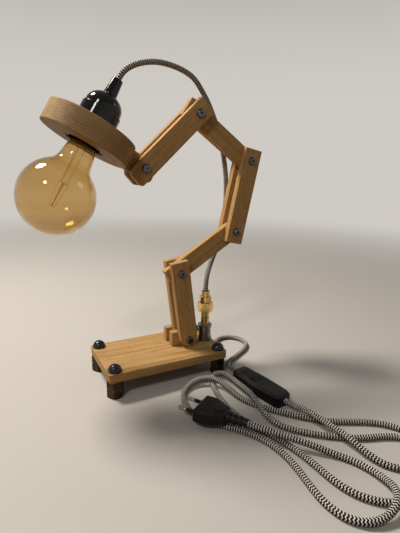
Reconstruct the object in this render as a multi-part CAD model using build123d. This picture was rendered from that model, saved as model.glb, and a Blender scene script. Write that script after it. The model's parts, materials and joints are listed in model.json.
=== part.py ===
from build123d import *
import math
import os

# All lengths are millimetres and all angles are degrees
CUT = 1.0
RUNNING_FIT = 0.05
THREAD_FIT = 0.05
LAYER_GAP = 0.2
SEAT_GAP = 0.3
EDGE_EASE = 0.7

# Base plate on four pairs of stacked nuts, its right end fixed beside the gland
BASE_RIGHT = 81.0
BASE_LENGTH = 150.0
BASE_WIDTH = 86.0
PLATE_THICKNESS = 10.5
PLATE_CORNER = 3.0
FOOT_INSET = 8.6
FOOT_NUT_FLATS = 17.0
FOOT_NUT_HEIGHT = 10.0
NUT_CHAMFER = 1.1
FOOT_BOLT_RADIUS = 5.0
DOME_RADIUS = 7.8
DOME_SKIRT = 0.8
BOLT_END_RECESS = 0.6

# Laths and their pivots
LATH_PITCH = 88.8
LATH_WIDTH = 23.0
LATH_THICKNESS = 9.0
LATH_MARGIN = 14.5
LATH_CORNER = 1.0
HEEL_MARGIN = 8.2
HEEL_CORNER = 11.0
HEAD_END_MARGIN = 17.4
HEAD_END_CORNER = 9.0
HEAD_END_TOE = 4.0
TONGUE_CORNER = 5.0
FOOT_PIVOT_X = 43.2
FOOT_PIVOT_RISE = 9.0
ARM_ANGLES = (97.8, 31.8, 78.1, 145.3, 223.4)
PIVOT_BOLT_RADIUS = 2.5
BUTTON_RADIUS = 4.9
BUTTON_HEIGHT = 2.8
BUTTON_ROUND = 2.0
HEX_RECESS_FLATS = 3.0
HEX_RECESS_DEPTH = 1.5
PIVOT_NUT_FLATS = 8.0
PIVOT_NUT_HEIGHT = 4.5
PIVOT_NUT_CHAMFER = 0.6
BOLT_PROUD = 1.5

# Cheeks that carry the first arm
CHEEK_REAR = 20.5
CHEEK_FRONT = 11.5
CHEEK_HEIGHT = 18.5
CHEEK_SCREW_RADIUS = 1.75
CHEEK_SCREW_HEAD = 3.5
CHEEK_SCREW_DEPTH = 10.0
CHEEK_SCREW_REAR = 14.0
CHEEK_SCREW_FRONT = 6.0

# Cord and the brass gland it leaves the base by
CORD_DIAMETER = 6.0
GLAND_X = 71.4
GLAND_Y = -1.0
STUD_RADIUS = 6.4
STUD_BORE = 3.6
STUD_BELOW = 4.0
STUD_IN_COUPLING = 11.0
LOCK_NUT_FLATS = 17.0
LOCK_NUT_HEIGHT = 3.5
COUPLING_RADIUS = 9.0
COUPLING_WAIST = 8.0
COUPLING_RIM = 4.0
COUPLING_HEIGHT = 22.0
NIPPLE_RADIUS = 5.6
NIPPLE_IN_COUPLING = 10.0
NIPPLE_SHOWN = 17.8
NIPPLE_IN_HEX = 5.0
GLAND_HEX_FLATS = 17.2
GLAND_HEX_HEIGHT = 12.7
GLAND_HEX_TURN = 31.0
GLAND_HEX_CHAMFER = 1.0
CLAMP_FLATS = 13.6
CLAMP_HEIGHT = 7.9
CLAMP_TURN = 12.0
CLAMP_SPIGOT = 6.5
COLLAR_RADIUS = 5.3
COLLAR_HEIGHT = 7.2
SEAL_RADIUS = 4.4
SEAL_LENGTH = 18.0

# Head disc, lamp holder and globe, measured along the head's own axis
HEAD_TILT = 30.0
DISC_RADIUS = 47.6
DISC_EDGE = 1.2
HEAD_CLEARANCE = 0.4
TONGUE_WALL = 5.0
DISC_HOLE = 21.0
SKIRT_RADIUS = 20.0
SKIRT_START = 1.0
SKIRT_ABOVE = 17.5
HOLDER_WALL = 2.2
BAND_RADIUS = 20.9
BAND_HEIGHT = 17.0
BAND_ROUND = 1.0
CAP_RADIUS = 19.3
CAP_SIDE = 2.5
CAP_DOME = 15.2
CAP_RISE = 16.8
CAP_NECK_RADIUS = 7.8
GRIP_BASE = 7.2
GRIP_TOP = 5.6
GRIP_LENGTH = 18.0
GRIP_SPIGOT = 4.0
INSERT_HEIGHT = 9.0
INSERT_WIRE_RADIUS = 1.6
INSERT_WIRE_OFFSET = 7.0
SHELL_START = 6.0
SHELL_RADIUS = 13.5
SHELL_WALL = 0.7
SHELL_LENGTH = 24.0
CONTACT_RADIUS = 3.5
CONTACT_HEIGHT = 1.2
GLOBE_RADIUS = 40.0
GLOBE_DROP = 60.4
GLASS_WALL = 0.9
NECK_RADIUS = 12.6
NECK_START = 6.5
NECK_RIM = 1.5
NECK_WAIST_RADIUS = 16.9
NECK_WAIST = -14.5
NECK_LEAN = 6.0
NECK_BLEND = 34.0
BULB_CAP_RADIUS = 13.1
BULB_CAP_LENGTH = 21.0
BULB_CAP_WALL = 0.4
BULB_TIP_RADIUS = 4.5
BULB_TIP_HEIGHT = 1.5
STEM_FLARE = 11.2
STEM_FLARE_HEIGHT = 2.0
STEM_RADIUS = 4.2
STEM_LENGTH = 51.5
CAGE_LENGTH = 26.0
CAGE_TOP_RADIUS = 6.2
CAGE_END_RADIUS = 2.6
CAGE_PLATE = 0.8
CAGE_MAST_RADIUS = 0.8
FILAMENT_RADIUS = 0.5
FILAMENT_COUNT = 6

# Rocker switch in the cord
SWITCH_NEAR = (100.1, -135.5)
SWITCH_FAR = (88.0, -59.5)
SWITCH_WIDTH = 26.0
SWITCH_HEIGHT = 13.5
SWITCH_SPLIT = 7.4
SWITCH_END_WIDTH = 19.0
SWITCH_SHOULDER_WIDTH = 23.5
SWITCH_SHOULDER = 7.0
SWITCH_PLAN_ROUND = 5.0
SWITCH_BEVEL = 2.6
SWITCH_WALL = 2.2
ROCKER_RADIUS = 10.0
ROCKER_WIDTH = 12.4
ROCKER_AXIS_DROP = 3.0
ROCKER_DIP = 2.8
ROCKER_END_RISE = 3.6
ROCKER_BELOW = 4.0
ROCKER_PIN_RADIUS = 1.6
ROCKER_PIN_REACH = 1.6
ROCKER_TILT = 7.0
ROCKER_GAP = 0.4
LUG_LENGTH = 6.0
LUG_THICKNESS = 2.2
LUG_DROP = 5.0
CONTACT_BLOCK = (7.0, 6.0, 4.0)
CONTACT_OFFSET = 13.0
SWITCH_SCREW_OFFSET = 23.0
SWITCH_SCREW_RADIUS = 1.4
SWITCH_SCREW_HEAD = 2.8
SWITCH_SCREW_HEAD_HEIGHT = 1.8
SWITCH_SCREW_RECESS = 0.6
SWITCH_SCREW_LENGTH = 9.5
SWITCH_BOSS_RADIUS = 4.2

# Two-pin plug lying on the cord
PLUG_END = (34.5, -160.0, 13.4)
PLUG_TURN = 123.9
RELIEF_LENGTH = 22.0
RELIEF_START = 4.3
RELIEF_END = 6.0
RELIEF_RIBS = 3
RELIEF_RIB_DEPTH = 1.0
PLUG_BODY_LENGTH = 32.0
PLUG_BODY_WIDTH = 33.0
PLUG_BACK_WIDTH = 15.0
PLUG_THICKNESS = 13.8
PLUG_SHOULDER = 18.0
PLUG_ROUND = 2.5
PLUG_BOSS_RADIUS = 6.0
PLUG_BOSS_RISE = 1.2
PLUG_BOSS_ROUND = 1.0
PLUG_BOSS_SETBACK = 9.0
PIN_PITCH = 19.0
PIN_RADIUS = 2.0
PIN_CORE = 1.4
PIN_SLEEVE = 10.0
PIN_TIP = 9.0
PIN_TIP_ROUND = 1.2
PIN_IN_BODY = 10.0

# Share of the shorter run that each bend of a cord may use
BEND_SHARE = 0.45

# Cord from under the base to the switch
BASE_CORD_ROUTE = (
    (71.4, -1.0, 16.0), (71.4, -1.0, 10.5), (74.2, 1.4, 5.2), (79.8, 6.0, 3.2), (87.2, 12.2, 3.05),
    (96.5, 21.5, 3.05), (108.5, 35.5, 3.05), (123.0, 45.0, 3.05), (139.5, 43.0, 3.05),
    (150.0, 29.5, 3.05), (149.5, 12.5, 3.05), (138.0, -1.0, 3.05), (122.5, -10.5, 3.05),
    (106.5, -19.0, 3.2), (93.0, -28.5, 4.6), (85.32, -42.68, 7.0), (88.0, -59.5, 7.0),
)

# Cord from the switch to the plug
MAINS_CORD_ROUTE = (
    (100.1, -135.5, 7.0), (102.23, -148.86, 7.0), (104.0, -160.5, 10.0), (106.5, -177.0, 10.3),
    (109.4, -196.0, 9.9), (111.5, -216.0, 9.6), (113.0, -234.0, 6.0), (118.0, -250.0, 3.3),
    (129.0, -262.0, 3.05),
    (145.5, -268.5, 3.05), (162.3, -263.5, 3.05), (171.0, -248.5, 3.05), (166.5, -231.5, 3.05),
    (151.5, -222.5, 3.05), (135.5, -217.5, 3.05), (120.0, -210.0, 3.05), (106.0, -201.0, 3.05),
    (93.0, -190.5, 3.05), (80.0, -178.0, 3.05), (69.5, -164.0, 3.3), (65.0, -147.5, 6.0),
    (67.0, -130.5, 9.9), (71.0, -114.0, 9.9), (73.0, -97.0, 8.0), (73.2, -80.5, 7.0),
    (72.5, -66.0, 7.5), (68.5, -53.5, 8.0), (58.5, -50.0, 6.5), (50.5, -58.5, 3.6),
    (46.0, -71.5, 3.05), (42.5, -87.5, 3.05), (40.0, -104.5, 3.05), (39.5, -121.5, 3.05),
    (42.0, -138.0, 3.05), (46.5, -154.0, 3.05), (52.5, -170.0, 3.05), (58.0, -187.5, 3.05),
    (61.5, -206.0, 3.05),
    (63.0, -224.0, 3.05), (63.5, -242.0, 3.05), (67.0, -259.0, 3.05), (76.0, -273.0, 3.05),
    (90.0, -283.0, 3.05), (107.0, -288.0, 3.05), (125.0, -290.0, 3.05), (143.0, -288.0, 3.05),
    (159.0, -282.0, 3.05), (172.0, -271.0, 3.05), (180.0, -255.0, 3.05), (181.0, -237.0, 3.05),
    (176.0, -220.0, 3.05), (165.0, -206.0, 3.05), (150.0, -196.0, 3.05), (133.0, -188.0, 3.05),
    (117.0, -179.0, 3.05), (103.0, -166.0, 3.05), (90.0, -151.0, 3.05), (77.5, -135.5, 3.05),
    (67.0, -119.5, 3.05), (61.0, -102.0, 3.2), (58.5, -84.5, 6.0), (53.0, -68.0, 9.9),
    (41.0, -57.0, 9.9), (26.0, -55.5, 6.0), (12.0, -63.5, 3.3), (3.5, -77.5, 3.05),
    (0.0, -95.0, 3.05), (2.0, -112.0, 3.05), (9.0, -128.0, 3.05), (20.0, -141.0, 3.05),
    (31.5, -154.0, 3.05), (40.5, -169.0, 3.05), (46.0, -186.0, 3.05), (47.5, -204.0, 3.05),
    (45.5, -222.0, 3.05), (42.0, -240.0, 3.05), (40.0, -258.0, 3.05), (43.5, -275.0, 3.05),
    (55.0, -287.0, 3.5), (71.0, -291.0, 6.0), (86.0, -287.5, 9.9), (97.0, -277.0, 9.7),
    (102.0, -262.0, 5.5), (101.5, -246.0, 3.3), (96.0, -231.0, 3.05), (85.5, -218.0, 4.5),
    (74.0, -206.0, 8.0), (62.5, -194.5, 10.6), (51.5, -182.5, 12.2), (41.75, -170.79, 13.4),
    (34.5, -160.0, 13.4),
)

# Cord from the gland to the holder, cut where one arm hands it to the next
HEAD_LEAD_ROUTES = (
    ((71.4, -1.0, 98.1), (71.4, -1.0, 107.5), (75.4, 2.6, 120.2), (83.5, 8.5, 132.5),
     (88.25, 11.75, 138.5)),
    ((88.25, 11.75, 138.5), (93.0, 15.0, 144.5), (102.0, 20.5, 159.0), (108.5, 24.0, 176.0),
     (109.75, 24.25, 185.5)),
    ((109.75, 24.25, 185.5), (111.0, 24.5, 195.0), (111.5, 23.0, 213.5), (110.75, 22.0, 222.75)),
    ((110.75, 22.0, 222.75), (110.0, 21.0, 232.0), (107.5, 20.0, 249.5), (104.0, 20.0, 266.5),
     (101.75, 20.0, 275.25)),
    ((101.75, 20.0, 275.25), (99.5, 20.0, 284.0), (94.0, 20.0, 300.0), (86.5, 19.5, 315.5),
     (78.0, 18.0, 329.5), (72.5, 16.5, 335.75)),
    ((72.5, 16.5, 335.75), (67.0, 15.0, 342.0), (56.0, 11.5, 352.5), (40.0, 8.0, 358.5),
     (23.0, 4.5, 361.3), (7.0, 1.8, 361.9), (-7.8, 0.6, 359.6), (-20.8, 0.0, 355.2)),
)
# The last two points follow the grip of the holder: run in line with it, then its end face
LEAD_LAST_RUN = 10.0

# Values that follow from the ones above
ROOT_THREE = math.sqrt(3)
BASE_CENTRE_X = BASE_RIGHT - BASE_LENGTH / 2
PLATE_BOTTOM = FOOT_NUT_HEIGHT * 2
PLATE_TOP = PLATE_BOTTOM + PLATE_THICKNESS
LAYER_PITCH = LATH_THICKNESS + LAYER_GAP
STACK_NEAR = -LAYER_PITCH - LATH_THICKNESS / 2
STACK_FAR = LAYER_PITCH + LATH_THICKNESS / 2
FOOT_STACK_FAR = LAYER_PITCH * 2 + LATH_THICKNESS / 2
PIVOT_HOLE = PIVOT_BOLT_RADIUS + RUNNING_FIT
HEAD_END_REACH = HEAD_END_CORNER + math.hypot(
    HEAD_END_MARGIN - HEAD_END_CORNER, LATH_WIDTH / 2 - HEAD_END_CORNER)
HEAD_REACH = DISC_RADIUS + HEAD_END_REACH + HEAD_CLEARANCE
TONGUE_START = DISC_HOLE + TONGUE_WALL
DISC_THICKNESS = LATH_WIDTH
SKIRT_END = DISC_THICKNESS + SKIRT_ABOVE
CAP_END = SKIRT_END + CAP_RISE
GRIP_END = CAP_END + GRIP_LENGTH
COUPLING_TOP = PLATE_TOP + COUPLING_HEIGHT
HEX_BOTTOM = COUPLING_TOP + NIPPLE_SHOWN
HEX_TOP = HEX_BOTTOM + GLAND_HEX_HEIGHT
CLAMP_TOP = HEX_TOP + CLAMP_HEIGHT
COLLAR_TOP = CLAMP_TOP + COLLAR_HEIGHT
CORD_RADIUS = CORD_DIAMETER / 2


def pivot_chain():
    """Pivot positions in the lamp's own plane, from the base to the head."""
    x, z = FOOT_PIVOT_X, PLATE_TOP + FOOT_PIVOT_RISE
    points = [(x, z)]
    for angle in ARM_ANGLES:
        x += LATH_PITCH * math.cos(math.radians(angle))
        z += LATH_PITCH * math.sin(math.radians(angle))
        points.append((x, z))
    return points


PIVOTS = pivot_chain()


def head_place():
    """Location of the head: its own axis up through the disc, from the lower face."""
    tilt = math.radians(HEAD_TILT)
    x = PIVOTS[-1][0] - HEAD_REACH * math.cos(tilt) - DISC_THICKNESS / 2 * math.sin(tilt)
    z = PIVOTS[-1][1] + HEAD_REACH * math.sin(tilt) - DISC_THICKNESS / 2 * math.cos(tilt)
    return Pos(x, 0, z) * Rot(0, HEAD_TILT, 0)


HEAD = head_place()


def save(name, *solids):
    """Write one node: a single solid, or a group of separate solids."""
    shape = solids[0] if len(solids) == 1 else Compound(children=list(solids))
    shape.label = name
    export_step(shape, f"parts/{name}.step")


def upright(radius, bottom, top):
    """Cylinder about Z between two heights."""
    return Pos(0, 0, (bottom + top) / 2) * Cylinder(radius, top - bottom)


def across(radius, x, z, near, far):
    """Cylinder along Y at one place in the lamp's plane."""
    return Pos(x, (near + far) / 2, z) * Rot(90, 0, 0) * Cylinder(radius, far - near)


def ring(outer, inner, bottom, top):
    """Tube about Z between two heights."""
    return upright(outer, bottom, top) - upright(inner, bottom - CUT, top + CUT)


def hexagon(flats, bottom, top, chamfer_size):
    """Hexagonal bar with turned corners."""
    corner = flats / ROOT_THREE
    bar = Pos(0, 0, bottom) * extrude(RegularPolygon(corner, 6), amount=top - bottom)
    return bar & chamfer(upright(corner, bottom, top).edges().filter_by(GeomType.CIRCLE), chamfer_size)


def eased(solid):
    """Round the long outer edges of a board a little."""
    edges = [edge for face in solid.faces().filter_by(Axis.Y) for edge in face.outer_wire().edges()]
    return fillet(edges, EDGE_EASE)


def board(start, end, start_corner, end_corners, width):
    """Lath along X, its thickness along Y; the end's lower and upper corner each have their own radius."""
    outline = Pos((start + end) / 2, 0) * Rectangle(end - start, width)
    if start_corner:
        outline = fillet(outline.vertices().group_by(Axis.X)[0], start_corner)
    for side, corner in zip((0, -1), end_corners):
        outline = fillet(outline.vertices().group_by(Axis.X)[-1].sort_by(Axis.Y)[side], corner)
    return eased(extrude(Plane.XZ * outline, amount=LATH_THICKNESS / 2, both=True))


def lath(arm, layer):
    """One lath of an arm, drilled at both pivots; the heel and the head end are rounded to swing clear."""
    start, start_corner = (HEEL_MARGIN, HEEL_CORNER) if arm == 0 else (LATH_MARGIN, LATH_CORNER)
    end, end_corners = LATH_MARGIN, (LATH_CORNER, LATH_CORNER)
    if arm == len(ARM_ANGLES) - 1:
        end, end_corners = HEAD_END_MARGIN, (HEAD_END_CORNER, HEAD_END_TOE)
    body = board(-start, LATH_PITCH + end, start_corner, end_corners, LATH_WIDTH)
    for x in (0, LATH_PITCH):
        body -= across(PIVOT_HOLE, x, 0, -LATH_THICKNESS, LATH_THICKNESS)
    x, z = PIVOTS[arm]
    return Pos(x, layer * LAYER_PITCH, z) * Rot(0, -ARM_ANGLES[arm], 0) * body


def button_bolt(x, z, far):
    """Button-head bolt through a stack of laths, its head on the near side."""
    length = far - STACK_NEAR + PIVOT_NUT_HEIGHT + BOLT_PROUD
    head = upright(BUTTON_RADIUS, -BUTTON_HEIGHT, 0)
    head = fillet(head.edges().filter_by(GeomType.CIRCLE).group_by(Axis.Z)[0], BUTTON_ROUND)
    recess = RegularPolygon(HEX_RECESS_FLATS / ROOT_THREE, 6)
    head -= Pos(0, 0, -BUTTON_HEIGHT - CUT) * extrude(recess, amount=HEX_RECESS_DEPTH + CUT)
    bolt = head + upright(PIVOT_BOLT_RADIUS, 0, length)
    return Pos(x, STACK_NEAR, z) * Rot(-90, 0, 0) * bolt


def pivot_nut(x, z, far):
    """Hexagon nut on the far side of a stack."""
    nut = hexagon(PIVOT_NUT_FLATS, 0, PIVOT_NUT_HEIGHT, PIVOT_NUT_CHAMFER)
    nut -= upright(PIVOT_BOLT_RADIUS + THREAD_FIT, -CUT, PIVOT_NUT_HEIGHT + CUT)
    return Pos(x, far, z) * Rot(-90, 0, 0) * nut


def foot_places():
    """Locations of the four feet at the table."""
    dx = BASE_LENGTH / 2 - FOOT_INSET
    dy = BASE_WIDTH / 2 - FOOT_INSET
    return [Pos(BASE_CENTRE_X + sx * dx, sy * dy, 0) for sx in (-1, 1) for sy in (-1, 1)]


def cheek_screw_places():
    """Locations of the screws that hold the two cheeks from below."""
    return [
        Pos(FOOT_PIVOT_X + dx, layer * LAYER_PITCH, PLATE_BOTTOM)
        for layer in (0, 2)
        for dx in (-CHEEK_SCREW_REAR, CHEEK_SCREW_FRONT)
    ]


def cheek_screw(grow):
    """Countersunk screw pointing up; grow widens it into its own hole."""
    head_height = CHEEK_SCREW_HEAD - CHEEK_SCREW_RADIUS
    shank = upright(CHEEK_SCREW_RADIUS + grow, 0, PLATE_THICKNESS + CHEEK_SCREW_DEPTH + grow)
    cone = Cone(CHEEK_SCREW_HEAD + grow, CHEEK_SCREW_RADIUS + grow, head_height)
    return shank + Pos(0, 0, head_height / 2) * cone


def make_base():
    """Plate, feet and the two cheeks."""
    plate = Pos(BASE_CENTRE_X, 0, PLATE_BOTTOM + PLATE_THICKNESS / 2) * Box(
        BASE_LENGTH, BASE_WIDTH, PLATE_THICKNESS)
    plate = fillet(plate.edges().filter_by(Axis.Z), PLATE_CORNER)
    rims = plate.faces().filter_by(Axis.Z)
    plate = fillet([edge for face in rims for edge in face.outer_wire().edges()], EDGE_EASE)
    for place in foot_places():
        plate -= place * upright(FOOT_BOLT_RADIUS + SEAT_GAP, PLATE_BOTTOM - CUT, PLATE_TOP + CUT)
    plate -= Pos(GLAND_X, GLAND_Y, 0) * upright(STUD_RADIUS + SEAT_GAP, PLATE_BOTTOM - CUT, PLATE_TOP + CUT)
    for place in cheek_screw_places():
        plate -= place * cheek_screw(THREAD_FIT)
    save("base_plate", plate)

    bolts, uppers, lowers = [], [], []
    for place in foot_places():
        dome = Sphere(DOME_RADIUS) & upright(DOME_RADIUS + CUT, 0, DOME_RADIUS + CUT)
        dome = Pos(0, 0, PLATE_TOP + DOME_SKIRT) * dome
        dome += upright(DOME_RADIUS, PLATE_TOP, PLATE_TOP + DOME_SKIRT)
        bolts.append(place * (dome + upright(FOOT_BOLT_RADIUS, BOLT_END_RECESS, PLATE_TOP)))
        for level, group in ((0, lowers), (1, uppers)):
            bottom = level * FOOT_NUT_HEIGHT
            nut = hexagon(FOOT_NUT_FLATS, bottom, bottom + FOOT_NUT_HEIGHT, NUT_CHAMFER)
            nut -= upright(FOOT_BOLT_RADIUS + THREAD_FIT, bottom - CUT, bottom + FOOT_NUT_HEIGHT + CUT)
            group.append(place * nut)
    save("foot_bolts", *bolts)
    save("foot_nuts_upper", *uppers)
    save("foot_nuts_lower", *lowers)

    x, z = PIVOTS[0]
    for name, layer in (("cheek_near", 0), ("cheek_far", 2)):
        middle = x + (CHEEK_FRONT - CHEEK_REAR) / 2
        cheek = Box(CHEEK_FRONT + CHEEK_REAR, LATH_THICKNESS, CHEEK_HEIGHT)
        cheek = eased(Pos(middle, layer * LAYER_PITCH, PLATE_TOP + CHEEK_HEIGHT / 2) * cheek)
        cheek -= across(PIVOT_HOLE, x, z, STACK_NEAR, FOOT_STACK_FAR + CUT)
        for place in cheek_screw_places():
            cheek -= place * cheek_screw(THREAD_FIT)
        save(name, cheek)
    save("cheek_screws", *[place * cheek_screw(0) for place in cheek_screw_places()])


def make_gland():
    """Threaded stud, coupling and brass cord gland on the plate."""
    place = Pos(GLAND_X, GLAND_Y, 0)
    stud_top = PLATE_TOP + STUD_IN_COUPLING
    nipple_bottom = COUPLING_TOP - NIPPLE_IN_COUPLING
    nipple_top = HEX_BOTTOM + NIPPLE_IN_HEX
    spigot_bottom = HEX_TOP - CLAMP_SPIGOT
    save("gland_stud", place * ring(STUD_RADIUS, STUD_BORE, PLATE_BOTTOM - STUD_BELOW, stud_top))
    nut = hexagon(LOCK_NUT_FLATS, PLATE_BOTTOM - LOCK_NUT_HEIGHT, PLATE_BOTTOM, PIVOT_NUT_CHAMFER)
    nut -= upright(STUD_RADIUS + THREAD_FIT, PLATE_BOTTOM - LOCK_NUT_HEIGHT - CUT, PLATE_BOTTOM + CUT)
    save("gland_lock_nut", place * nut)

    coupling = upright(COUPLING_RADIUS, PLATE_TOP, COUPLING_TOP)
    low, high = PLATE_TOP + COUPLING_RIM, COUPLING_TOP - COUPLING_RIM
    coupling -= ring(COUPLING_RADIUS + CUT, COUPLING_WAIST, low, high)
    coupling -= upright(STUD_RADIUS + THREAD_FIT, PLATE_TOP - CUT, nipple_bottom)
    coupling -= upright(NIPPLE_RADIUS + THREAD_FIT, PLATE_TOP, COUPLING_TOP + CUT)
    save("gland_coupling", place * coupling)
    save("gland_nipple", place * ring(NIPPLE_RADIUS, STUD_BORE, nipple_bottom, nipple_top))

    body = Rot(0, 0, GLAND_HEX_TURN) * hexagon(GLAND_HEX_FLATS, HEX_BOTTOM, HEX_TOP, GLAND_HEX_CHAMFER)
    body -= upright(NIPPLE_RADIUS + THREAD_FIT, HEX_BOTTOM - CUT, HEX_TOP + CUT)
    save("gland_hex", place * body)

    clamp = Rot(0, 0, CLAMP_TURN) * hexagon(CLAMP_FLATS, HEX_TOP, CLAMP_TOP, GLAND_HEX_CHAMFER)
    clamp += upright(NIPPLE_RADIUS, spigot_bottom, HEX_TOP)
    clamp += upright(COLLAR_RADIUS, CLAMP_TOP, COLLAR_TOP)
    clamp -= upright(SEAL_RADIUS + THREAD_FIT, spigot_bottom - CUT, COLLAR_TOP + CUT)
    save("gland_clamp", place * clamp)
    seal = ring(SEAL_RADIUS, CORD_RADIUS + SEAT_GAP, COLLAR_TOP - SEAL_LENGTH, COLLAR_TOP)
    save("gland_seal", place * seal)
    save("lead_in_gland", place * upright(CORD_RADIUS, PLATE_BOTTOM - STUD_BELOW, COLLAR_TOP))


def make_arms():
    """Three double arms and two single arms with their pivot bolts."""
    save("arm_1_near", lath(0, -1))
    save("arm_1_far", lath(0, 1))
    save("arm_2", lath(1, 0))
    save("arm_3_near", lath(2, -1))
    save("arm_3_far", lath(2, 1))
    save("arm_4", lath(3, 0))
    save("arm_5_near", lath(4, -1))
    save("arm_5_far", lath(4, 1))
    for name, first in (("lower", 0), ("middle", 2), ("upper", 4)):
        pair = [(PIVOTS[i], FOOT_STACK_FAR if i == 0 else STACK_FAR) for i in (first, first + 1)]
        save(f"pivot_bolts_{name}", *[button_bolt(x, z, far) for (x, z), far in pair])
        save(f"pivot_nuts_{name}", *[pivot_nut(x, z, far) for (x, z), far in pair])


def make_disc():
    """Head disc and the tongue let into its rim."""
    disc = upright(DISC_RADIUS, 0, DISC_THICKNESS)
    disc = fillet(disc.edges().filter_by(GeomType.CIRCLE), DISC_EDGE)
    disc -= upright(DISC_HOLE, -CUT, DISC_THICKNESS + CUT)
    depth = DISC_RADIUS + CUT - TONGUE_START
    slot = Box(depth, LATH_THICKNESS + THREAD_FIT * 2, DISC_THICKNESS + CUT * 2)
    disc -= Pos(TONGUE_START + depth / 2, 0, DISC_THICKNESS / 2) * slot
    save("head_disc", HEAD * disc)
    corners = (TONGUE_CORNER, TONGUE_CORNER)
    tongue = board(TONGUE_START, HEAD_REACH + LATH_MARGIN, 0, corners, LATH_WIDTH)
    tongue -= across(PIVOT_HOLE, HEAD_REACH, 0, -LATH_THICKNESS, LATH_THICKNESS)
    save("head_tongue", HEAD * Pos(0, 0, DISC_THICKNESS / 2) * tongue)


def cap_solid(shrink):
    """Domed cap of the holder as a turned solid; shrink makes its inside."""
    radius = CAP_RADIUS - shrink
    neck = CAP_NECK_RADIUS - shrink
    top = CAP_END - shrink
    arc_size = math.degrees(math.acos(neck / radius))
    dome = EllipticalCenterArc((0, SKIRT_END + CAP_SIDE), radius, CAP_DOME - shrink, arc_size=arc_size)
    outline = make_face([
        Line((0, SKIRT_END), (radius, SKIRT_END)),
        Line((radius, SKIRT_END), dome @ 0),
        dome,
        Line(dome @ 1, (neck, top)),
        Line((neck, top), (0, top)),
        Line((0, top), (0, SKIRT_END)),
    ])
    return revolve(Plane.XZ * outline, axis=Axis.Z)


def make_holder():
    """Lamp holder through the disc: skirt, cap, cord grip and its contacts."""
    skirt = upright(SKIRT_RADIUS, SKIRT_START, SKIRT_END)
    band = upright(BAND_RADIUS, DISC_THICKNESS, DISC_THICKNESS + BAND_HEIGHT)
    skirt += fillet(band.edges().filter_by(GeomType.CIRCLE).group_by(Axis.Z)[-1], BAND_ROUND)
    skirt -= upright(SKIRT_RADIUS - HOLDER_WALL, SKIRT_START - CUT, SKIRT_END + CUT)
    save("holder_skirt", HEAD * skirt)

    bore = CORD_RADIUS + SEAT_GAP
    cap = cap_solid(0) - cap_solid(HOLDER_WALL)
    cap -= upright(GRIP_TOP + THREAD_FIT, SKIRT_END, CAP_END + CUT)
    save("holder_cap", HEAD * cap)

    grip = Pos(0, 0, CAP_END + GRIP_LENGTH / 2) * Cone(GRIP_BASE, GRIP_TOP, GRIP_LENGTH)
    grip += upright(GRIP_TOP, CAP_END - GRIP_SPIGOT, CAP_END)
    grip -= upright(bore, CAP_END - GRIP_SPIGOT - CUT, GRIP_END - CORD_DIAMETER)
    save("holder_grip", HEAD * grip)

    insert_bottom = SHELL_START + SHELL_LENGTH + CONTACT_HEIGHT
    insert = upright(SKIRT_RADIUS - HOLDER_WALL - SEAT_GAP, insert_bottom, insert_bottom + INSERT_HEIGHT)
    for side in (-1, 1):
        wire = upright(INSERT_WIRE_RADIUS, insert_bottom - CUT, insert_bottom + INSERT_HEIGHT + CUT)
        insert -= Pos(0, side * INSERT_WIRE_OFFSET, 0) * wire
    save("holder_insert", HEAD * insert)
    shell = ring(SHELL_RADIUS + SHELL_WALL, SHELL_RADIUS, SHELL_START, insert_bottom)
    save("holder_shell", HEAD * shell)
    contact = upright(CONTACT_RADIUS, insert_bottom - CONTACT_HEIGHT, insert_bottom)
    save("holder_contact", HEAD * contact)


def glass_solid(shrink):
    """Globe with its neck as a turned solid; shrink makes its inside."""
    blend, lean = math.radians(NECK_BLEND), math.radians(NECK_LEAN)
    globe, waist, neck = GLOBE_RADIUS - shrink, NECK_WAIST_RADIUS - shrink, NECK_RADIUS - shrink
    rim, top = NECK_START - NECK_RIM, NECK_START + (CUT if shrink else 0)
    leaning = (-math.sin(lean), math.cos(lean))
    meet = (globe * math.sin(blend), globe * math.cos(blend) - GLOBE_DROP)
    outline = make_face([
        ThreePointArc((0, -GLOBE_DROP - globe), (globe, -GLOBE_DROP), meet),
        Spline(meet, (waist, NECK_WAIST), tangents=((-math.cos(blend), math.sin(blend)), leaning)),
        Spline((waist, NECK_WAIST), (neck, rim), tangents=(leaning, (0, 1))),
        Line((neck, rim), (neck, top)),
        Line((neck, top), (0, top)),
        Line((0, top), (0, -GLOBE_DROP - globe)),
    ])
    return revolve(Plane.XZ * outline, axis=Axis.Z)


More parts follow.
